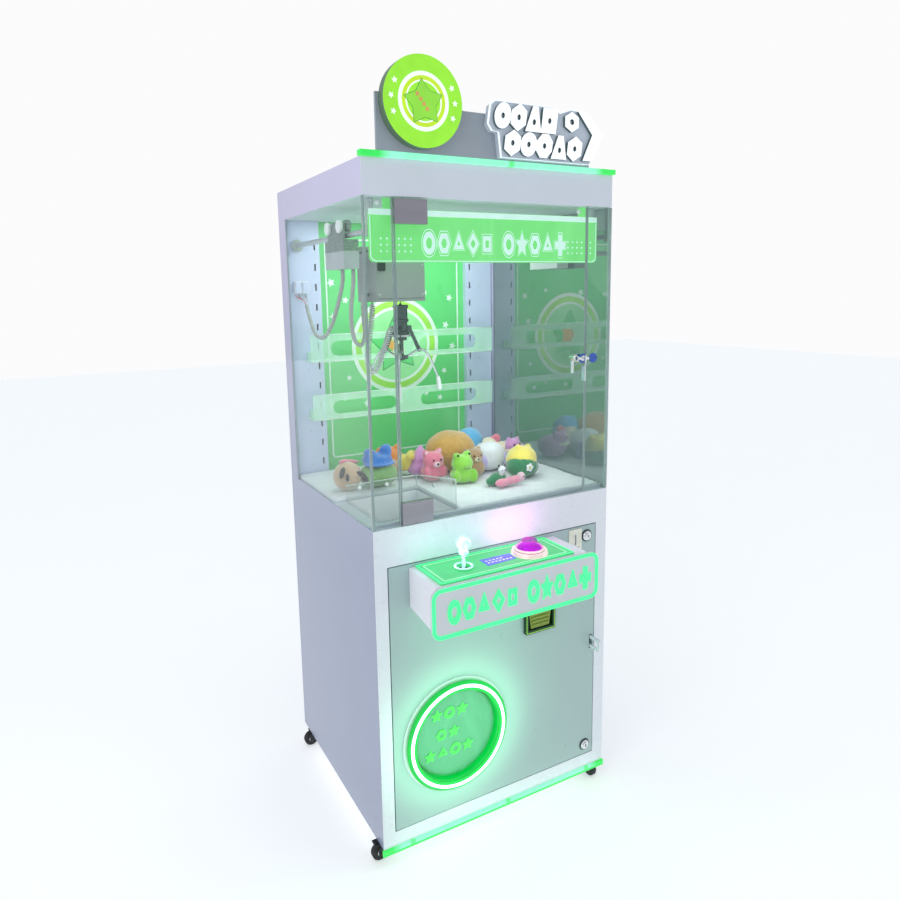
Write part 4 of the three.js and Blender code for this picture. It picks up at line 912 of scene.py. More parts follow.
def make_console():
    def lit(name, loops, level, depth, finish, bevel=0.0, top=True):
        flat(name, loops, level, depth, finish, "service_door", top, bevel)

    lit("fascia_border", frame_loops(-320.6, 216.6, 750.4, 885.6, 27, 9), -528.5, 3, "fascia_led", 0.8,
        False)
    row = glyph_row("o6^<#", "o*6^+", -276, 190, 816, 66, 24, 0.58)
    lit("fascia_shapes", row, -529.2, 3, "fascia_led", 0.6, False)
    z = CONSOLE_TOP_Z
    lit("console_top_rim", frame_loops(-281.6, 149.6, -504.6, -358.4, 3, 6), z + 0.9, 0.6, "fascia_led", 0.2)
    lit("console_frame_line", frame_loops(-266, 134, -492, -371, 4, 3), z + 0.8, 0.5, "console_line")
    screen = [(-112, -416), (-14, -417), (-17, -457), (-113, -463)]
    lit("console_screen", [screen], z + 1.2, 0.9, "screen", 0.2)
    marks = []
    for y, count in ((-431, 5), (-445, 7)):
        for x in range(-104, -104 + 12 * count, 12):
            marks.append([(x, y), (x + 7, y), (x + 7, y - 5), (x, y - 5)])
    lit("console_screen_marks", marks, z + 1.5, 0.4, "digits")


def make_stick_and_button():
    seat = [(20.5, 8.2), (27.2, 8.2), (26.4, 10), (21.2, 10), (20.5, 8.2)]
    lathe("stick_ring", seat, (STICK_X, STICK_Y, 884.3), UP, "crystal", "service_door")
    tube("stick_core", [at(STICK_X, STICK_Y, 868 + i * 8) for i in range(9)], 3.4, "stem", "joystick")
    collar = [(8.2, -16), (12.5, -15), (14.2, -10), (12.6, -5), (9, -3), (8.2, -16)]
    lathe("stick_collar", collar, (STICK_X, STICK_Y, 942), UP, "crystal", "joystick", 12)
    for name, profile, foot, finish, body, steps in (
        ("bezel", [(44, 11.2), (49.5, 11.2), (50.6, 8), (50.8, 2), (52.5, 1), (52.5, 0.3), (44, 0.3),
                   (44, 11.2)], 888,
         "amber", "service_door", 64),
        ("core", [(0, 14), (20, 14), (33, 16.5), (35, 20), (30, 26), (21, 29), (8, 30), (0, 30)], 884,
         "pink", "push_button", 48),
        ("rim", [(36, 16.6), (42.4, 16.4), (42.8, 18), (39.5, 22), (36.4, 21), (36, 16.6)], 884,
         "amber", "push_button", 64),
        ("cap", [(0, 48.4), (10, 48.2), (17.4, 46.2), (21.4, 42.6), (22.6, 39), (20, 37.5), (0, 37)], 884,
         "dome", "push_button", 40),
    ):
        lathe("button_" + name, profile, (BUTTON_X, BUTTON_Y, foot), UP, finish, body, steps)


def make_prize_ring():
    for name, profile, y, finish in (
        ("lamp", [(147, 0), (149, 4.2), (152, 5.6), (155, 4.2), (157, 0), (152, -2), (147, 0)], -375,
         "ring_led"),
        ("glow_outer", [(156.5, -0.5), (157.5, 2.6), (164, 0.6), (167, -3), (167, -5), (156.5, -0.5)], -374,
         "ring_green"),
        ("glow_inner", [(138.3, -2), (138.6, 1.2), (147.5, 2.4), (148.5, -0.5), (138.3, -2)], -374,
         "ring_green"),
        ("flange", [(158, 0.2), (171.6, 0.2), (172.6, 1.4), (171.8, 3.4), (166, 4.2), (159, 4.6),
                    (158, 0.2)], DOOR_Y,
         "panel"),
    ):
        lathe("ring_" + name, profile, (RING_X, y, RING_Z), FORWARD, finish, "service_door", 96)
    loops = []
    for z, row, start in ((418, "*o*", -222), (355, "6*", -208), (298, "*^o*", -246)):
        for i, mark in enumerate(row):
            loops += [moved(loop, start + i * 42, z, 36, 0.1) for loop in GLYPHS[mark]]
    flat("flap_shapes", loops, -353.9, 0.5, "flap_ink", "prize_flap")
    band("flap_hub", RING_X, RING_Z, 132, 129.4, -353.8, "ink_deep", "prize_flap")


def make_coin_parts():
    flat("coin_frame", frame_loops(84, 190, 595, 697, 4, 2.2), -366.9, 0.6, "ink_lime", "service_door")
    flat("coin_frame_inner", frame_loops(89, 185, 600, 692, 3, 3), -367.2, 0.9, "coin_box", "service_door")
    for i in range(3):
        z = 614 + i * 12
        flat(f"coin_flap_rib_{i + 1}", [rounded(106 - i, 168 + i, z, z + 5, 2)], -365.4, 2.2, "coin_flap",
             "coin_return_flap", bevel=0.6)
    flat("coin_slot_rim", frame_loops(269.8, 280.2, 835.8, 874.2, 3, 2), -358.6, 1.3, "chrome",
         "service_door", bevel=0.4)
    button = [(0, 3), (4.5, 2.8), (5.4, 1.6), (5.4, 0), (0, 0)]
    lathe("coin_reject_button", button, (290, -357.3, 826), FORWARD, "chrome", "service_door", 24)


def make_locks():
    for body, x, z in (("door_lock_upper", 321, 861), ("door_lock_lower", 324, 143)):
        face = [(0, 0.2), (9.6, 0.2), (10, 1.6), (8.6, 2.4), (6.2, 2.2), (5.8, 1.2), (0, 1.2)]
        lathe(body + "_face", face, (x, -361, z), FORWARD, "chrome", body, 32)
        flat(body + "_keyway", [rounded(x - 1.1, x + 1.1, z - 4.2, z + 4.2, 1)], -362.9, 0.8, "dark", body)
        seat = [(16.2, 0.1), (20, 0.1), (19.4, 1.4), (16.8, 1.8), (16.2, 0.1)]
        lathe(body + "_seat", seat, (x, DOOR_Y, z), FORWARD, "dark", "service_door", 40)


def make_key():
    body, slot, x, z = "glass_door_lock", "lock_chrome", KEY_X, KEY_Z
    collar = [(9.5, 0), (13.5, 0.5), (14.2, 4), (12.6, 6), (9.5, 6), (9.5, 0)]
    lathe("key_collar", collar, (x, -386, z), FORWARD, "key", body, 32)
    lathe("key_face", [(0, 2.5), (5, 2.3), (8.6, 1), (9, 0), (0, 0)], (x, -392, z), FORWARD, "chrome", body,
          32)
    flat("key_shank", [rounded(x + 3, x + 21, z - 3.5, z + 3.5, 1)], -397.6, 2.2, "chrome", body, bevel=0.4)
    bow = [circle(x + 32, z, 13.5, 32), circle(x + 38, z, 2.4, 12)]
    flat("key_bow", bow, -398.6, 4.2, "key", body, bevel=0.8)
    angles = [2 * math.pi * k / 24 for k in range(25)]
    round_tag = [at(x - 30 + 10 * math.cos(a), -394, z + 1 + 8 * math.sin(a)) for a in angles]
    tube("key_ring", round_tag, 1.4, "brass", body, 8)
    flat("key_tag", [rounded(x - 22, x - 9, z - 3, z + 4, 2)], -395, 1.6, "chrome", body, bevel=0.3)


make_console()
make_stick_and_button()
make_prize_ring()
make_coin_parts()
make_locks()
make_key()


# ---- Play space ----


def make_patch(name, x, z):
    """Cover plates and the dark rim of one of the door's patch fittings, from its lower left corner."""
    for side, level in (("outer", GLASS_Y - 7.2), ("inner", GLASS_Y + 7.2)):
        outline = rounded(x + 0.2, x + 91.8, z + 0.2, z + 60.8, 1.2)
        flat(f"{name}_{side}", [outline], level, 0.9, "patch", "glass_door", bevel=0.25)
    rim = [rounded(x - 0.6, x + 92.6, z - 0.6, z + 61.4, 1.5),
           rounded(x + 1.5, x + 90.5, z + 1.5, z + 59.5, 1)]
    flat(f"{name}_body", rim, GLASS_Y - 6.4, 12.8, "patch", "glass_door", bevel=0.2)


make_patch("patch_lower", -314, 1007)
make_patch("patch_upper", -314, 1795)


def make_sheet_edges():
    """The bright cut edges of the panes and of the acrylic."""
    for tag, x, y, radius in (
        ("corner_left", -397.2, -351.6, 4.2), ("corner_right", 397.2, -351.6, 4.2),
        ("strip_left", -319.4, GLASS_Y, 2.6), ("strip_right", 309.6, GLASS_Y, 2.6),
        ("rear_left", -397.0, 282.0, 2.3), ("rear_right", 397.0, 282.0, 2.3),
    ):
        rod("glass_edge_" + tag, (x, y, 1006), (x, y, 1858.5), radius, "edge", "cabinet", 10)
    for tag, start, end, radius in (
        ("left", (-313.2, GLASS_Y, 1069), (-313.2, GLASS_Y, 1794), 2.3),
        ("right", (305.2, GLASS_Y, 1009), (305.2, GLASS_Y, 1855), 2.3),
        ("foot", (-221, GLASS_Y, 1008.2), (304, GLASS_Y, 1008.2), 1.9),
    ):
        rod("glass_edge_door_" + tag, start, end, radius, "edge", "glass_door", 10)
    for tag, start, end in (
        ("side", (-117.5, -301, 1093), (-117.5, -50, 1050.6)),
        ("rear", (-354, -49.5, 1050.2), (-118, -49.5, 1050.2)),
        ("corner", (-117.5, -49.5, 1014), (-117.5, -49.5, 1050)),
        ("front", (-117.5, -301.5, 1014), (-117.5, -301.5, 1093)),
    ):
        rod("chute_edge_" + tag, start, end, 1.7, "acrylic_edge")
    for tag, z, drop in (("lower", 1290, 83.5), ("upper", 1490, 88.5)):
        rod("shelf_edge_" + tag, (-351, 230, z - 0.6), (351, 230, z - 0.6), 2.1, "acrylic_edge")
        rod("shelf_nose_" + tag, (-351, 229.5, z - drop), (351, 229.5, z - drop), 2.2, "acrylic_edge")


make_sheet_edges()


def make_studs():
    """Nylon studs that hold the chute and the banner, and dome screws down the fronts of the rear posts."""
    profile = [(0, 5), (3.4, 4.4), (6, 2.6), (6.8, 0.6), (6.8, 0), (0, 0)]
    for name, place, axis in (
        ("chute_stud_1", (-221, -51, 1035), FORWARD), ("chute_stud_2", (-312, -51, 1038), FORWARD),
        ("chute_stud_3", (-115.9, -160, 1042), (1, 0, 0)), ("banner_stud_1", (-345, -322, 1848), FORWARD),
        ("banner_stud_2", (300, -322, 1848), FORWARD),
    ):
        lathe(name, profile, place, axis, "nylon", steps=24)
    bm = bmesh.new()
    for x in (-340, 340):
        for z in (1040, 1160, 1370, 1640, 1820):
            place = Matrix.Translation(at(x, 299.6, z)) @ Matrix.Rotation(math.pi / 2, 4, "X")
            bmesh.ops.create_cone(
                bm, cap_ends=True, segments=14, radius1=3.6 * MM, radius2=2.0 * MM, depth=2.2 * MM,
                matrix=place,
            )
    from_bmesh("post_screws", bm, "zinc", "cabinet", smooth=False)


make_studs()


# ---- Crane ----


def claw_point(angle, r, z):
    """A point in mm beside the claw's centre line, as a place in the frame."""
    return at(CLAW_X + r * math.cos(angle), CLAW_Y + r * math.sin(angle), z)


def claw_path(angle, knots, step=0.004):
    """A smooth line through (r, z) knots in the upright plane at an angle round the claw."""
    path = spline([(r, 0, z) for r, z in knots], step)
    return [claw_point(angle, p.x / MM, p.z / MM) for p in path]


def make_claw():
    for i in range(3):
        angle, number = 2 * math.pi * i / 3, i + 1
        body = f"finger_{number}"
        arm = [(13, 1436), (34, 1446), (57, 1456), (76, 1452), (97, 1420), (112, 1388), (118, 1372),
               (122, 1350)]
        finger = tube(f"claw_finger_{number}", claw_path(angle, arm), 3.3, "chrome", body, 12)
        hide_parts(body)
        tip = claw_path(angle, [(118.5, 1372), (120.5, 1362), (123, 1345), (124.5, 1331)], 0.003)
        sizes = [5.0 + 1.8 * min(1, k / 4) for k in range(len(tip))]
        sizes[0], sizes[-1] = 4.4, 4.6
        tube(f"claw_tip_{number}", tip, sizes, "tip", body, 14)
        across = Vector((-math.sin(angle), math.cos(angle), 0))
        pin = [claw_point(angle, 57.5, 1455.5) + across * w * MM for w in (-6.4, -3, 0, 3, 6.4)]
        tube(f"claw_pin_{number}", pin, 3.9, "zinc", body, 14)
    band_profile = [(26.2, 0), (28.2, 0.8), (28.2, 5.4), (26.2, 6.2), (26.2, 0)]
    lathe("claw_band_upper", band_profile, (CLAW_X, CLAW_Y, 1496), UP, "zinc", "claw_head", 40)


make_claw()


def make_crane_details():
    profile = [(0, 10), (5, 10), (6, 8), (12.5, 8), (14, 9.4), (17.4, 8.6), (18, 4), (16, 0), (0, 0)]
    for side, tag in ((-1, "left"), (1, "right")):
        for i, y in enumerate((-150, -60), 1):
            lathe(f"bridge_roller_{tag}_{i}", profile, (side * 378.2, y, 1803), (side, 0, 0), "nylon",
                  "bridge", 36)
    for name, z in (("crane_lid_seam", 1712), ("crane_base_seam", 1606)):
        flat(name, [[(-284, z), (-136, z), (-136, z + 1), (-284, z + 1)]], -170.4, 0.5, "dark", "trolley")
    flat("crane_plug", [rounded(-281, -262, 1684, 1706, 2)], -178, 8, "dark", "trolley", bevel=1.2)
    for i, (x, z) in enumerate(((-277, 1618), (-143, 1618), (-143, 1700)), 1):
        lathe(f"crane_screw_{i}", [(0, 1.8), (2.4, 1.4), (3.6, 0.2), (0, 0)], (x, -170, z), FORWARD,
              "zinc", "trolley", 18)


make_crane_details()


# ---- Mat and prizes ----


def make_mat():
    """A thick white pile mat with tufts, cut round the chute."""
    low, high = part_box("prize_mat")
    hole_low, hole_high = at(-359, -330, 0), at(-112.5, -44, 0)
    step = 0.0065
    nx, ny = int((high.x - low.x) / step), int((high.y - low.y) / step)

    def spot(i, j):
        return low.x + (high.x - low.x) * i / nx, low.y + (high.y - low.y) * j / ny

    bm = bmesh.new()
    grid = {}
    for i in range(nx + 1):
        for j in range(ny + 1):
            x, y = spot(i, j)
            tuft = noise.noise(Vector((x * 150, y * 150, 0))) * 0.0034
            tuft += noise.noise(Vector((x * 60, y * 60, 4))) * 0.0022
            lump = noise.noise(Vector((x * 14, y * 14, 9))) * 0.0025
            grid[i, j] = bm.verts.new((x, y, high.z - 0.0012 + tuft + lump))
    for i in range(nx):
        for j in range(ny):
            x, y = spot(i + 0.5, j + 0.5)
            left_of_chute = x < hole_low.x and y < hole_high.y
            in_chute = hole_low.x < x < hole_high.x and hole_low.y < y < hole_high.y
            if not (left_of_chute or in_chute):
                bm.faces.new((grid[i, j], grid[i + 1, j], grid[i + 1, j + 1], grid[i, j + 1]))
    bmesh.ops.delete(bm, geom=[v for v in bm.verts if not v.link_faces], context="VERTS")
    rim = [e for e in bm.edges if e.is_boundary]
    for item in bmesh.ops.extrude_edge_only(bm, edges=rim)["geom"]:
        if isinstance(item, bmesh.types.BMVert):
            item.co.z = low.z + 0.0002
    pile = plush("mat_pile", (0.84, 0.87, 0.90), (0.66, 0.72, 0.78), 260, 0.5)
    mat = from_bmesh("fluffy_mat", bm, pile, "cabinet")
    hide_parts("prize_mat")


make_mat()

# The pile's colour, and a second colour where the tufts aren't just a darker tone of it.
FUR = {
    "tan": [(0.62, 0.44, 0.28)], "honey": [(0.60, 0.34, 0.06), (0.38, 0.20, 0.03)],
    "black": [(0.035, 0.035, 0.04), (0.01, 0.01, 0.012)], "rose": [(0.78, 0.20, 0.30)],
    "pink": [(0.80, 0.28, 0.40)], "blush": [(0.80, 0.52, 0.62)], "lime": [(0.24, 0.62, 0.04)],
    "leaf": [(0.30, 0.55, 0.22)], "blue": [(0.04, 0.20, 0.62)], "sky": [(0.10, 0.45, 0.80)],
    "orange": [(0.80, 0.26, 0.04)], "yellow": [(0.82, 0.68, 0.12)],
    "white": [(0.80, 0.82, 0.86), (0.60, 0.64, 0.72)], "lilac": [(0.50, 0.44, 0.78)],
    "orchid": [(0.66, 0.30, 0.62)], "brown": [(0.40, 0.24, 0.12)], "forest": [(0.02, 0.22, 0.09)],
    "cream": [(0.80, 0.72, 0.55)],
}
for fur, colours in FUR.items():
    M["fur_" + fur] = plush("fur_" + fur, *colours)


def stuffed(name, colour, balls, creases=(), voxel=0.0042, wrinkle=0.0022):
    """One stuffed piece: balls (x, y, z, rx, ry, rz[, turn, axis]) in mm, melted together and wrinkled.

    A crease is (point, axis, depth): a sewn line square to the axis through the point.
    """
    bm = bmesh.new()
    for x, y, z, rx, ry, rz, *turned in balls:
        turn = Matrix.Rotation(math.radians(turned[0]), 4, turned[1]) if turned else Matrix.Identity(4)
        shape = Matrix.Translation(at(x, y, z)) @ turn @ Matrix.Diagonal((rx * MM, ry * MM, rz * MM, 1))
        bmesh.ops.create_icosphere(bm, subdivisions=4, radius=1, matrix=shape)
    mesh = bpy.data.meshes.new(name + "_source")
    bm.to_mesh(mesh)
    bm.free()
    source = link(bpy.data.objects.new(name + "_source", mesh))
    melt = source.modifiers.new("melt", "REMESH")
    melt.mode = "VOXEL"
    melt.voxel_size = voxel
    melt.use_smooth_shade = True
    relax = source.modifiers.new("relax", "SMOOTH")
    relax.factor, relax.iterations = 0.5, 5
    final = baked(source)
    final.update()
    normals = [v.normal.copy() for v in final.vertices]
    for vertex, normal in zip(final.vertices, normals):
        p = vertex.co
        lift = noise.noise(p * 34) * wrinkle + noise.noise(p * 150) * wrinkle * 0.35 - wrinkle * 0.4
        for point, axis, deep in creases:
            d = (p - at(*point)).dot(Vector(axis).normalized())
            lift -= deep * MM * math.exp(-((d / 0.0026) ** 2))
        vertex.co = p + normal * lift
    obj = new_object(name, final, "fur_" + colour, "cabinet")
    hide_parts("prize_pile")


# The toys, each a colour, its balls and its creases.
TOYS = {
    "tan_dog": ("tan", [(-324, 16, 1062, 47, 42, 46)], [((-324, 16, 1062), (0.3, 1, 0), 1.2)]),
    "tan_dog_ears": ("black", [(-352, -14, 1082, 9, 8, 20, 18, "Y"), (-340, -26, 1068, 7, 5, 14),
        (-296, -10, 1072, 24, 11, 9, 22, "Y"), (-276, -12, 1052, 9, 9, 16, -30, "Y")]),
    "tan_dog_bow": ("rose", [(-306, 34, 1103, 34, 13, 8, 12, "Y"), (-334, 26, 1106, 14, 11, 8)]),
    "frog_body": ("leaf", [(-222, 16, 1054, 62, 50, 40), (-262, 6, 1066, 22, 20, 24),
        (-182, 4, 1052, 24, 22, 30)], [((-222, 16, 1054), (1, 0.2, 0), 1.4)]),
    "frog_cap": ("blue", [(-224, 14, 1104, 50, 44, 22), (-224, -8, 1094, 55, 38, 9),
        (-250, 8, 1124, 21, 20, 19), (-194, 10, 1130, 22, 20, 21), (-222, 6, 1108, 24, 38, 16)], [
        ((-224, 14, 1099), (0, 0, 1), 1.8), ((-224, 14, 1104), (1, 0, 0), 1.3)]),
    "fox_body": ("orange", [(-142, 112, 1066, 58, 50, 52), (-176, 96, 1104, 16, 12, 18),
        (-112, 98, 1108, 16, 12, 18)]),
    "fox_bib": ("tan", [(-186, 76, 1072, 34, 26, 36), (-150, 64, 1062, 28, 16, 24)]),
    "chick": ("yellow", [(-104, 62, 1066, 30, 26, 30), (-92, 40, 1090, 17, 15, 15),
                         (-66, 84, 1082, 20, 20, 18)]),
    "pyramid": ("orchid", [(-54, 50, 1048, 46, 42, 30), (-54, 50, 1072, 34, 30, 26),
        (-52, 50, 1094, 20, 18, 22), (-50, 50, 1110, 10, 9, 14)], [
        ((-54, 50, 1060), (1, 0.4, 0), 1.6), ((-54, 50, 1066), (0.1, 0, 1), 1.2)]),
    "pink_bear": ("rose", [(-46, -22, 1046, 40, 36, 32), (-46, -32, 1086, 37, 33, 31),
        (-72, -28, 1112, 12, 9, 12), (-21, -26, 1113, 12, 9, 12), (-78, -48, 1052, 13, 14, 20),
        (-16, -50, 1050, 13, 14, 20)], [((-46, -32, 1066), (0, 0.1, 1), 2.2)]),
    "pink_bear_muzzle": ("blush", [(-48, -62, 1078, 13, 8, 10), (-73, -36, 1112, 7, 4, 7),
        (-22, -34, 1113, 7, 4, 7)]),
    "lime_frog": ("lime", [(22, -96, 1044, 40, 36, 30), (20, -104, 1082, 37, 33, 30),
        (-2, -108, 1108, 14, 13, 13), (40, -102, 1109, 14, 13, 13), (-12, -122, 1046, 14, 15, 20),
        (54, -118, 1040, 16, 16, 24)], [((20, -104, 1064), (0, 0.1, 1), 2.0)]),
    "tan_bear": ("brown", [(86, -62, 1050, 42, 38, 36), (84, -70, 1090, 33, 30, 27),
                           (60, -66, 1110, 10, 8, 10),
        (108, -62, 1110, 10, 8, 10)], [((84, -70, 1070), (0, 0.1, 1), 2.0)]),
    "tan_bear_muzzle": ("cream", [(82, -98, 1084, 12, 8, 9)]),
    "honey_dome": ("honey", [(66, 62, 1086, 86, 74, 71), (92, 60, 1090, 66, 68, 62)], [
        ((66, 62, 1092), (0.15, -0.2, 1), 1.8), ((66, 62, 1086), (1, 0.5, 0.1), 1.2)]),
    "honey_beak": ("yellow", [(134, 12, 1090, 14, 12, 9), (112, -2, 1072, 20, 14, 12)]),
    "sky_ball": ("sky", [(176, 112, 1092, 54, 50, 55), (150, 104, 1132, 13, 12, 12)], [
        ((176, 112, 1092), (1, 0, 0.2), 1.4)]),
    "sky_scarf": ("white", [(150, 74, 1056, 40, 30, 34), (128, 60, 1086, 20, 16, 22),
        (196, 66, 1070, 24, 22, 28)]),
    "rose_bunny": ("rose", [(236, 62, 1082, 34, 28, 34), (252, 52, 1110, 18, 12, 16),
        (222, 46, 1066, 26, 22, 30)]),
    "pearl_bunny": ("cream", [(216, 40, 1094, 32, 24, 24, 20, "Y"), (262, 30, 1070, 28, 24, 32)]),
    "pearl_dome": ("white", [(184, -6, 1066, 60, 56, 50), (182, -20, 1084, 46, 42, 34)], [
        ((184, -6, 1066), (1, 0.15, 0), 1.8), ((184, -6, 1066), (0.1, 0, 1), 1.2)]),
    "pearl_ears": ("lilac", [(136, -34, 1050, 22, 24, 34, 20, "Y"), (232, -40, 1048, 20, 24, 36, -16, "Y")]),
    "charm_base": ("forest", [(106, -182, 1038, 30, 24, 20), (84, -180, 1030, 22, 18, 14)]),
    "charm": ("white", [(110, -196, 1068, 14.5, 13, 14), (110, -194, 1052, 10, 9, 9)]),
    "charm_ears": ("black", [(99, -196, 1081, 5, 4.5, 5), (121, -195, 1081, 5, 4.5, 5),
        (105, -207, 1068, 3.6, 2.6, 4.2), (115, -207, 1068, 3.6, 2.6, 4.2)]),
    "keyring_roll": ("pink", [(96, -220, 1033, 26, 15, 14), (124, -216, 1034, 28, 15, 14),
        (150, -212, 1035, 22, 15, 14)], [
        ((110, -218, 1033), (1, 0.1, 0), 1.4), ((138, -214, 1033), (1, 0.1, 0), 1.4)]),
    "keyring_cap": ("blush", [(172, -212, 1040, 16, 15, 17)]),
    "corn_top": ("yellow", [(230, -132, 1072, 54, 50, 48), (216, -136, 1116, 12, 10, 11),
        (258, -130, 1112, 12, 10, 12)], [((230, -132, 1072), (1, 0, 0.2), 1.4)]),
    "corn_wrap": ("forest", [(222, -146, 1056, 55, 44, 42), (262, -134, 1050, 24, 38, 34)], [
        ((208, -146, 1056), (1, 0.2, 0.5), 2.2), ((238, -146, 1056), (1, 0.1, -0.4), 2.2)]),
    "berry_cat": ("orchid", [(304, 34, 1058, 54, 56, 42), (292, 6, 1088, 32, 28, 26),
                             (272, 6, 1110, 9, 7, 11),
        (312, 8, 1110, 9, 7, 11)]),
    "berry_cat_scarf": ("cream", [(288, -4, 1070, 34, 22, 12)]),
}

BEADS = [
    (-60, -63, 1092, 3.2), (-34, -64, 1092, 3.2), (-48, -69.5, 1080, 3.8), (-3, -119, 1111, 4.2),
    (41, -114, 1112, 4.2), (71, -96, 1096, 3.0), (96, -96, 1096, 3.0), (82, -105, 1087, 3.4),
    (174, -226, 1043, 2.4), (280, -20, 1094, 3.2), (304, -18, 1094, 3.2),
]


def make_toys():
    for name, (colour, balls, *creases) in TOYS.items():
        small = min(min(ball[3:6]) for ball in balls) <= 6
        voxel, wrinkle = (0.0022, 0.0008) if small else (0.0042, 0.0022)
        stuffed("toy_" + name, colour, balls, *creases, voxel=voxel, wrinkle=wrinkle)
    for i, (x, y, z, r) in enumerate(BEADS, 1):
        bm = bmesh.new()
        place = Matrix.Translation(at(x, y, z))
        bmesh.ops.create_uvsphere(bm, u_segments=14, v_segments=8, radius=r * MM, matrix=place)
        from_bmesh(f"toy_bead_{i}", bm, "bead", "cabinet")
    angles = [i * 0.16 - 0.8 for i in range(11)]
    smile = [at(20 + 17 * math.sin(a), -137.5 + 4 * (1 - math.cos(a)),
                1078 - 8 * math.cos(a)) for a in angles]
    tube("toy_smile", smile, 0.9, "bead", "cabinet", 8)
    petals = [(x, -190, z, 6.5, 3, 6.5) for x, z in circle(222, 1058, 9, 5)]
    stuffed("toy_flower", "white", petals, (), 0.0018, 0.0005)
    stuffed("toy_flower_heart", "yellow", [(222, -193, 1058, 5, 3, 5)], (), 0.0018, 0.0004)
    tube("toy_charm_ring", [at(x, -196, z) for x, z in circle(112, 1090, 9, 24)], 1.0, "chrome", "cabinet",
         8)


make_toys()


# ---- Small parts of the feet, roof and back ----


def make_panel_screws():
    back = [(x, z) for x in (-386, 386) for z in range(90, 1940, 230)]
    back += [(x, z) for x in (-193, 0, 193) for z in (80, 1936)]
    roof = [(x, y) for x in (-386, 0, 386) for y in (-180, 20, 220, 338)]
    for name, places, level, top in (("back_screws", back, 353.2, False),
                                     ("roof_screws", roof, 1953.4, True)):
        heads = [circle(u, v, 4.6, 16) for u, v in places]
        flat(name, heads, level, 1.7, "zinc", top=top, bevel=0.5)


def make_wheel_hubs():
    """Caps on both sides of each wheel; at rest the left casters trail left, and the right ones forward."""
    wheel_x, wheel_y, trail, wheel_z = 372, 306, 22, 25
    profile = [(0, 1.4), (7, 1.2), (9.5, 0.3), (9.5, 0), (0, 0)]
    for corner, (sx, sy) in CORNERS.items():
        for side, tag in ((-1, "out"), (1, "in")):
            if sx < 0:
                centre, axis = (-wheel_x - trail, sy * wheel_y + side * 10, wheel_z), (0, side, 0)
            else:
                centre, axis = (wheel_x + side * 10, sy * wheel_y - trail, wheel_z), (side, 0, 0)
            lathe(f"hub_{corner}_{tag}", profile, centre, axis, "zinc", "caster_wheel_" + corner, 28)


make_panel_screws()
make_wheel_hubs()


# ---- Studio ----


def area(name, energy, colour, place, target, width, height, body=None):
    """A lamp panel, a disc when its sides are equal; one that rides a body isn't mirrored."""
    data = bpy.data.lights.new(name, "AREA")
    data.energy, data.color = energy, colour
    data.shape = "DISK" if width == height else "RECTANGLE"
    data.size, data.size_y = width, height
    light = link(bpy.data.objects.new(name, data))
    aim = Vector(target) - Vector(place)
    light.matrix_world = Matrix.Translation(place) @ aim.to_track_quat("-Z", "Y").to_matrix().to_4x4()
    light.visible_camera = False
    light.visible_glossy = body is None
    if body:
        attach(light, body)


def make_floor():
    bpy.ops.mesh.primitive_plane_add(size=30, location=(0, 0, -0.0005))
    floor = bpy.context.object
    floor.name = "studio_floor"
    floor.data.materials.append(surface(
        "studio_floor", (0.93, 0.93, 0.94), 0.7, tone=0.004, patch=1, grain=0.02, fine=200,
        Emission_Color=(1, 1, 1, 1), Emission_Strength=0.38,
    ))


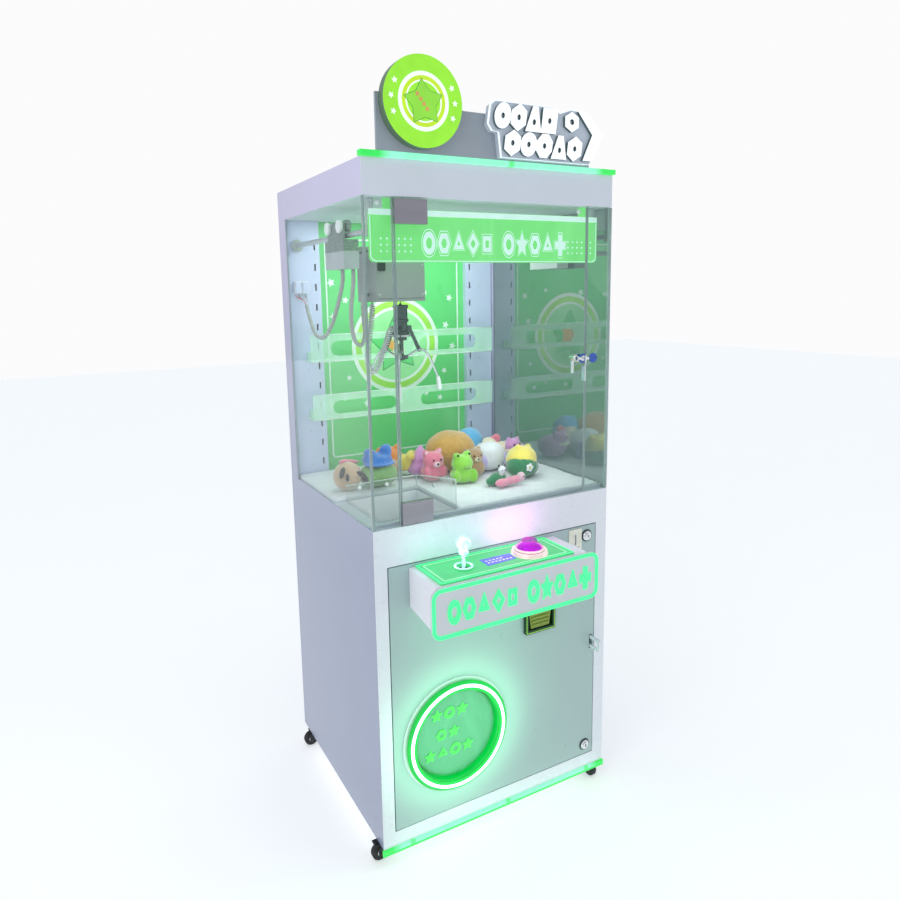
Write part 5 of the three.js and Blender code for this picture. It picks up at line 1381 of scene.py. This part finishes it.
def make_world():
    """Pale all round: a little darker and bluer as a light than as a backdrop."""
    world = bpy.data.worlds.new("studio")
    world.use_nodes = True
    nodes, links = world.node_tree.nodes, world.node_tree.links
    seen = nodes.new("ShaderNodeLightPath").outputs["Is Camera Ray"]
    level = nodes.new("ShaderNodeMath")
    level.operation = "MULTIPLY_ADD"
    level.inputs[1].default_value, level.inputs[2].default_value = 0.34, 0.64
    links.new(seen, level.inputs[0])
    links.new(level.outputs[0], nodes["Background"].inputs["Strength"])
    tint = nodes.new("ShaderNodeMix")
    tint.data_type = "RGBA"
    tint.inputs[6].default_value, tint.inputs[7].default_value = (0.88, 0.95, 1.0, 1), (0.99, 0.99, 1.0, 1)
    links.new(seen, tint.inputs[0])
    links.new(tint.outputs[2], nodes["Background"].inputs["Color"])
    bpy.context.scene.world = world
    bpy.context.scene.view_settings.view_transform = "Standard"


def make_lights():
    area("key", 18, (1, 0.99, 1), (-3.6, -2.1, 2.9), (0, 0, 1.0), 2.2, 2.2)
    area("header_side", 2.2, (0.97, 0.94, 1.0), (-1.35, -0.25, 2.25), (-0.4, 0.0, 1.93), 0.5, 0.3)
    area("fill", 5, (0.95, 0.96, 1.0), (3.2, -2.4, 2.2), (0, 0, 1.0), 2.0, 2.0)
    area("inside_top", 2.8, (0.97, 1.0, 0.98), at(0, -10, 1856), at(0, -10, 1000), 0.62, 0.5, "cabinet")
    area("inside_back", 0.5, (0.95, 1.0, 0.95), at(0, 60, 1850), at(0, 320, 1300), 0.6, 0.1, "cabinet")
    area("inside_front", 1.1, (0.97, 1.0, 0.98), at(60, -336, 1290), at(0, 320, 1240), 0.5, 0.3, "cabinet")
    area("foot_glow", 0.12, (0.66, 1.0, 0.78), at(0, -400, 30), at(0, DOOR_Y, 160), 0.78, 0.02, "cabinet")
    for name, energy, colour, place, target, width, height in (
        ("ring_glow", 0.95, (0.4, 1.0, 0.58), (RING_X, -432, RING_Z), (RING_X, DOOR_Y, RING_Z), 0.40, 0.40),
        ("console_glow", 0.16, (0.06, 1.0, 0.30), (-50, -470, 748), (-50, -380, 560), 0.5, 0.06),
        ("button_glow", 0.11, (1.0, 0.38, 0.92), (BUTTON_X, -435, 932), (BUTTON_X + 12, DOOR_Y, 952), 0.12,
         0.05),
        ("stick_glow", 0.09, (0.62, 1.0, 0.96), (STICK_X, -450, 950), (STICK_X, DOOR_Y, 955), 0.30, 0.05),
    ):
        area(name, energy, colour, at(*place), at(*target), width, height, "service_door")


make_floor()
make_world()
make_lights()
